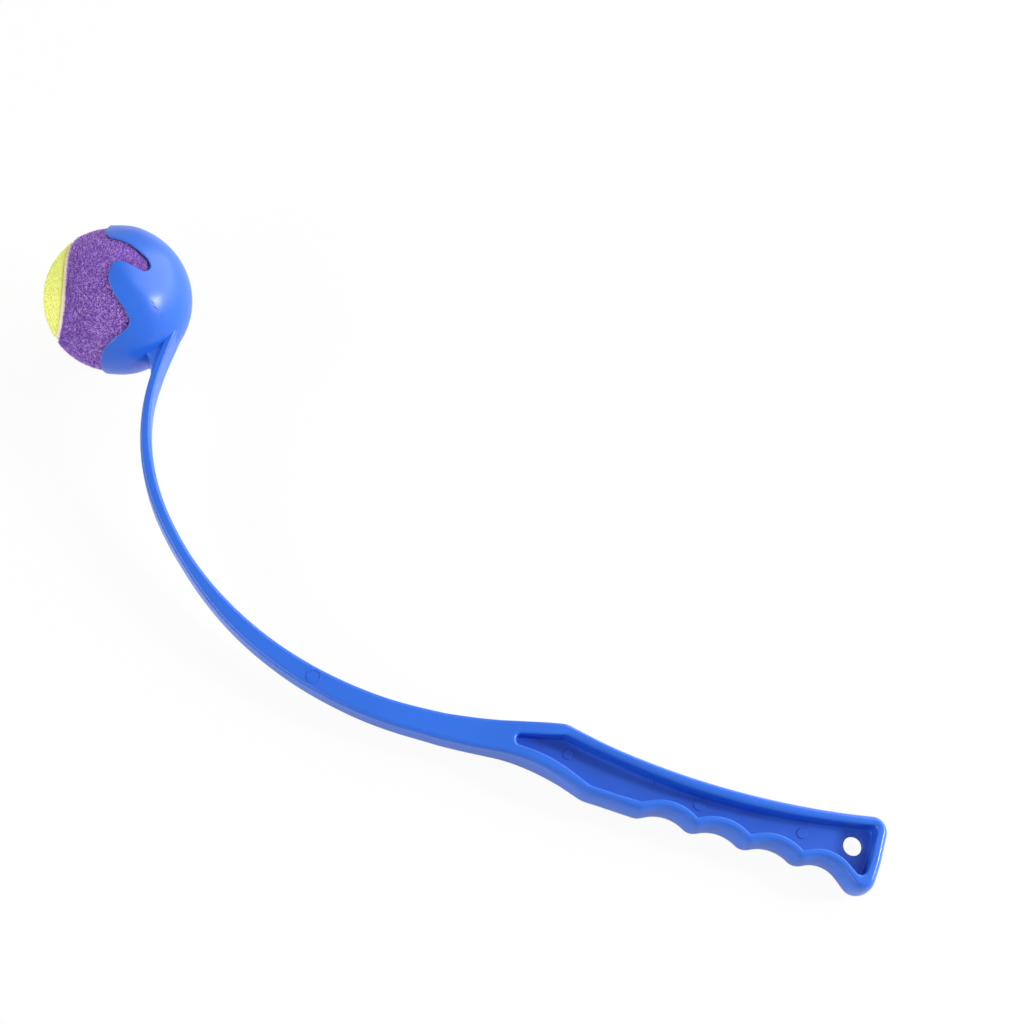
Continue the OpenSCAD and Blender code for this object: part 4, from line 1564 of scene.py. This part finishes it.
def grown_object(name, base_mesh, tree, values):
    """An object with the plain mesh that a tree makes from a base mesh."""
    grower = bpy.data.objects.new(name + "_grower", base_mesh)
    scene.collection.objects.link(grower)
    modifier = grower.modifiers.new(name, "NODES")
    modifier.node_group = tree
    for key, value in values.items():
        set_input(modifier, key, value)
    evaluated = grower.evaluated_get(bpy.context.evaluated_depsgraph_get())
    made = bpy.data.objects.new(name, bpy.data.meshes.new_from_object(evaluated))
    bpy.data.objects.remove(grower)
    scene.collection.objects.link(made)
    return made


# %% Nap tree
spin_spread, lean_spread, least_tint = 0.5, 0.22, 0.15


def random_value(tree, low, high, seed):
    """Output of a Random Value node for numbers."""
    made = node(tree, "FunctionNodeRandomValue", data_type="FLOAT")
    for index, value in ((2, low), (3, high), (8, seed)):
        made.inputs[index].default_value = value
    return made.outputs[1]


def rotate_locally(tree, rotation, turns):
    """A rotation followed by turns about its own axes."""
    angles = node(tree, "ShaderNodeCombineXYZ", dict(enumerate(turns)))
    by = node(tree, "FunctionNodeEulerToRotation", {0: angles.outputs[0]})
    turned = node(
        tree, "FunctionNodeRotateRotation", {0: rotation, 1: by.outputs[0]}, rotation_space="LOCAL")
    return turned.outputs[0]


def nap_tree():
    """Scatters fibres over the marked faces, each with its own lean, size and tint."""
    tree, given, result = geometry_tree("Felt nap", (
        ("Fibre", "Object"), ("Felt", "Material"), ("Density", "Float"), ("Shortest", "Float"),
        ("Longest", "Float"), ("Lean", "Float"), ("Seed", "Int")))
    face_side = node(tree, "GeometryNodeInputNamedAttribute", {"Name": "nap"}, data_type="BOOLEAN")
    points = node(tree, "GeometryNodeDistributePointsOnFaces", {
        "Mesh": given.outputs["Geometry"], "Selection": face_side.outputs[0],
        "Density": given.outputs["Density"], "Seed": given.outputs["Seed"]})
    upright = node(
        tree, "FunctionNodeAlignRotationToVector", {"Vector": points.outputs["Normal"]}, axis="Z")
    either_way = calculate(tree, "ROUND", random_value(tree, 0.0, 1.0, 1))
    crossing = calculate(tree, "MULTIPLY", either_way, math.pi / 2)
    spin = calculate(tree, "ADD", crossing, random_value(tree, -spin_spread, spin_spread, 2))
    spun = rotate_locally(tree, upright.outputs[0], (0.0, 0.0, spin))
    more_lean = random_value(tree, -lean_spread, lean_spread, 3)
    lean = calculate(tree, "ADD", given.outputs["Lean"], more_lean)
    leant = rotate_locally(tree, spun, (0.0, lean, 0.0))
    one_fibre = node(tree, "GeometryNodeObjectInfo", {"Object": given.outputs["Fibre"]})
    size = random_value(tree, 0.0, 1.0, 4)
    length = remap(tree, size, 0.0, 1.0, given.outputs["Shortest"], given.outputs["Longest"])
    nap = node(tree, "GeometryNodeInstanceOnPoints", {
        "Points": points.outputs["Points"], "Instance": one_fibre.outputs["Geometry"],
        "Rotation": leant, "Scale": length})
    tinted = node(tree, "GeometryNodeStoreNamedAttribute", {
        "Geometry": nap.outputs[0], "Name": "tint", "Value": random_value(tree, least_tint, 1.0, 5)},
        data_type="FLOAT", domain="INSTANCE")
    end_tree(tree, tinted.outputs[0], given.outputs["Felt"], result)
    return tree


nap_nodes = nap_tree()
print("The nap tree has", len(nap_nodes.nodes), "nodes")

# %% [markdown]
# The tree runs on a copy of each panel. Only the outside of the panel is marked for the nap. The
# result is turned into a plain mesh, so that the fibres are kept wherever the model goes.

# %% Grow the nap
fibres_per_square_mm = 4.6
outside_r = (ground_r - roll_deep - 2 * unevenness) * MM


def mark_outside(mesh):
    """Marks the faces on the outside of a panel, by their distance from the ball's centre."""
    marked = mesh.attributes.new("nap", "BOOLEAN", "FACE")
    centres = np.array([face.center for face in mesh.polygons])
    outside = np.linalg.norm(centres - np.array(ball_place), axis=1) > outside_r
    marked.data.foreach_set("value", outside)


def grow_nap(name, panel, material, sizes, lean, seed):
    """Nap on a panel, with fibres between two sizes that lean by an angle in degrees."""
    mark_outside(panel.data)
    made = grown_object(name, panel.data.copy(), nap_nodes, {
        "Fibre": fibre, "Felt": material, "Density": fibres_per_square_mm / MM ** 2,
        "Shortest": sizes[0], "Longest": sizes[1], "Lean": math.radians(lean), "Seed": seed})
    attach(made, "ball")
    print(f"{name}: {len(made.data.polygons) // len(fibre.data.polygons)} fibres")


grow_nap("purple_nap", purple_panel, purple, sizes=(0.65, 1.25), lean=68, seed=11)
grow_nap("yellow_nap", yellow_panel, yellow, sizes=(0.55, 0.85), lean=80, seed=12)
bpy.data.objects.remove(fibre)

# %% [markdown]
# ## Seam and core
# A bead of pale rubber closes the gap between the panels. It follows a path, so Geometry Nodes sweep an
# oval along the seam, with its flat side kept to the ball. The core under the felt stays as the
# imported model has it, and only gets its rubber and cement.

# %% Rubber materials
grain_range, rough_spread = (0.2, 0.8), 0.1


def rubber(name, deep, pale, scale, roughness):
    """Matt rubber or cement between two tones, with the moulded grain at a scale."""
    material, tree, shader, coordinates = new_material(name)
    grain = fill_group(tree, moulded_grain, {"Vector": coordinates, "Scale": scale})
    spread = remap(tree, grain.outputs["Drift"], *noise_range)
    tree.links.new(mix_colours(tree, spread, deep, pale), shader.inputs["Base Color"])
    height, rough_range = grain.outputs["Height"], (roughness - rough_spread, roughness + rough_spread)
    tree.links.new(remap(tree, height, *grain_range, *rough_range), shader.inputs["Roughness"])
    add_bump(tree, shader, height, strength=0.4, distance=0.0003)
    return material


seam_rubber = rubber("seam_rubber", (0.74, 0.58, 0.52, 1), (0.92, 0.82, 0.74, 1), 2600.0, 0.7)
core_rubber = rubber("core_rubber", (0.020, 0.020, 0.022, 1), (0.045, 0.044, 0.046, 1), 1500.0, 0.75)
core_cement = rubber("core_cement", (0.25, 0.20, 0.12, 1), (0.40, 0.34, 0.22, 1), 1800.0, 0.6)
print("Rubbers:", seam_rubber.name, core_rubber.name, core_cement.name)

# %% Seam bead
bead_path_r, bead_half_w, bead_half_deep, bead_sides = 30.8, 1.32, 0.8, 14


def bead_tree():
    """Sweeps an oval along a path on a ball round the origin."""
    tree, given, result = geometry_tree("Seam bead", (
        ("Half width", "Float"), ("Half depth", "Float"), ("Rubber", "Material")))
    path = node(tree, "GeometryNodeMeshToCurve", {"Mesh": given.outputs["Geometry"]})
    outward = node(tree, "GeometryNodeInputPosition")
    facing = node(tree, "GeometryNodeSetCurveNormal", {
        "Curve": path.outputs[0], "Normal": outward.outputs[0]}, mode="FREE")
    circle = node(tree, "GeometryNodeCurvePrimitiveCircle", {"Resolution": bead_sides, "Radius": 1.0})
    oval_size = node(tree, "ShaderNodeCombineXYZ", {
        0: given.outputs["Half depth"], 1: given.outputs["Half width"], 2: 1.0})
    oval = node(tree, "GeometryNodeTransform", {
        "Geometry": circle.outputs[0], "Scale": oval_size.outputs[0]})
    bead = node(tree, "GeometryNodeCurveToMesh", {
        "Curve": facing.outputs[0], "Profile Curve": oval.outputs[0]})
    end_tree(tree, bead.outputs[0], given.outputs["Rubber"], result)
    return tree


def bead_object():
    """The seam strip, swept round the ball's own frame and then laid in the cup."""
    path = bpy.data.meshes.new("seam_path")
    edges = [(k, (k + 1) % seam_columns) for k in range(seam_columns)]
    path.from_pydata((bead_path_r * seam).tolist(), edges, [])
    made = grown_object("seam_strip", path, bead_tree(), {
        "Half width": bead_half_w, "Half depth": bead_half_deep, "Rubber": seam_rubber})
    to_ball = Matrix.Translation((*cup_centre, 0)) @ Matrix(ball_turn.tolist()).to_4x4()
    made.data.transform(laid @ to_ball)
    made.data.shade_smooth()
    return made


seam_strip = bead_object()
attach(seam_strip, "ball")
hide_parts("seam_bead")
print("Seam:", len(seam_strip.data.polygons), "faces")

# %% Core
core_finishes = {"core_upper": core_rubber, "core_lower": core_rubber, "core_cement": core_cement}
for name, material in core_finishes.items():
    core_mesh = frame["nodes"][name].data
    core_mesh.materials.clear()
    core_mesh.materials.append(material)
print("Core dressed:", list(core_finishes))

# %% [markdown]
# ## Floor, light and backdrop
# The picture is a plain studio shot on white. A large pale floor takes the shadow. To the camera it
# glows by itself, so that it reads as white paper without any more light on the object. A large key
# lamp stands behind to the right, a small one on the right gives sharp highlights, a long low one
# lights the left, and the white surroundings fill the rest.

# %% Floor
floor_side = 6.0
floor_glow, floor_mirrored = 0.94, 0.4


def white_floor():
    """Pale paper that glows to the camera, and less in reflections."""
    material = bpy.data.materials.new("white_paper")
    material.use_nodes = True
    tree = material.node_tree
    tree.nodes.remove(tree.nodes["Principled BSDF"])
    rays = node(tree, "ShaderNodeLightPath")
    glossy, through = rays.outputs["Is Glossy Ray"], rays.outputs["Is Transmission Ray"]
    mirrored = calculate(tree, "MULTIPLY", calculate(tree, "MAXIMUM", glossy, through), floor_mirrored)
    seen = calculate(tree, "MAXIMUM", rays.outputs["Is Camera Ray"], mirrored)
    paper = node(tree, "ShaderNodeBsdfDiffuse", {"Color": (0.88, 0.88, 0.88, 1)})
    glow = node(tree, "ShaderNodeEmission", {"Color": (1, 1, 1, 1), "Strength": 1.0})
    mixed = node(tree, "ShaderNodeMixShader", {
        0: calculate(tree, "MULTIPLY", seen, floor_glow), 1: paper.outputs[0], 2: glow.outputs[0]})
    tree.links.new(mixed.outputs[0], tree.nodes["Material Output"].inputs["Surface"])
    return material


paper_mesh = bpy.data.meshes.new("paper")
half = floor_side / 2
paper_corners = [(-half, -half, 0), (half, -half, 0), (half, half, 0), (-half, half, 0)]
paper_mesh.from_pydata(paper_corners, [], [(0, 1, 2, 3)])
paper = bpy.data.objects.new("paper", paper_mesh)
paper_mesh.materials.append(white_floor())
scene.collection.objects.link(paper)
print(f"The floor is {floor_side:.0f} m wide")

# %% Lamps and surroundings
fill_strength = 0.20


def studio_lamp(name, place, width, height, watts):
    """A soft lamp, upright and as wide and high as told, that faces the middle of the launcher."""
    lamp = bpy.data.lights.new(name, "AREA")
    lamp.shape, lamp.size, lamp.size_y, lamp.energy = "RECTANGLE", width, height, watts
    made = bpy.data.objects.new(name, lamp)
    made.location = place
    made.rotation_euler = (Vector(place) - view_aim).to_track_quat("Z", "Y").to_euler()
    scene.collection.objects.link(made)


studio_lamp("key_lamp", (0.95, 1.15, 0.9), width=2.0, height=2.0, watts=36.0)
studio_lamp("spot_lamp", (1.12, 0.18, 0.61), width=0.17, height=0.17, watts=12.0)
studio_lamp("left_lamp", (-1.05, -0.80, 0.60), width=1.9, height=0.30, watts=14.0)

world = bpy.data.worlds.new("studio")
scene.world = world
world.use_nodes = True
sky = world.node_tree
rays = node(sky, "ShaderNodeLightPath")
seen = calculate(sky, "MAXIMUM", rays.outputs["Is Camera Ray"], rays.outputs["Is Glossy Ray"])
seen = calculate(sky, "MAXIMUM", seen, rays.outputs["Is Transmission Ray"])
strength = calculate(sky, "MULTIPLY_ADD", seen, 1.0 - fill_strength, fill_strength)
background = sky.nodes["Background"]
background.inputs["Color"].default_value = (1, 1, 1, 1)
sky.links.new(strength, background.inputs["Strength"])
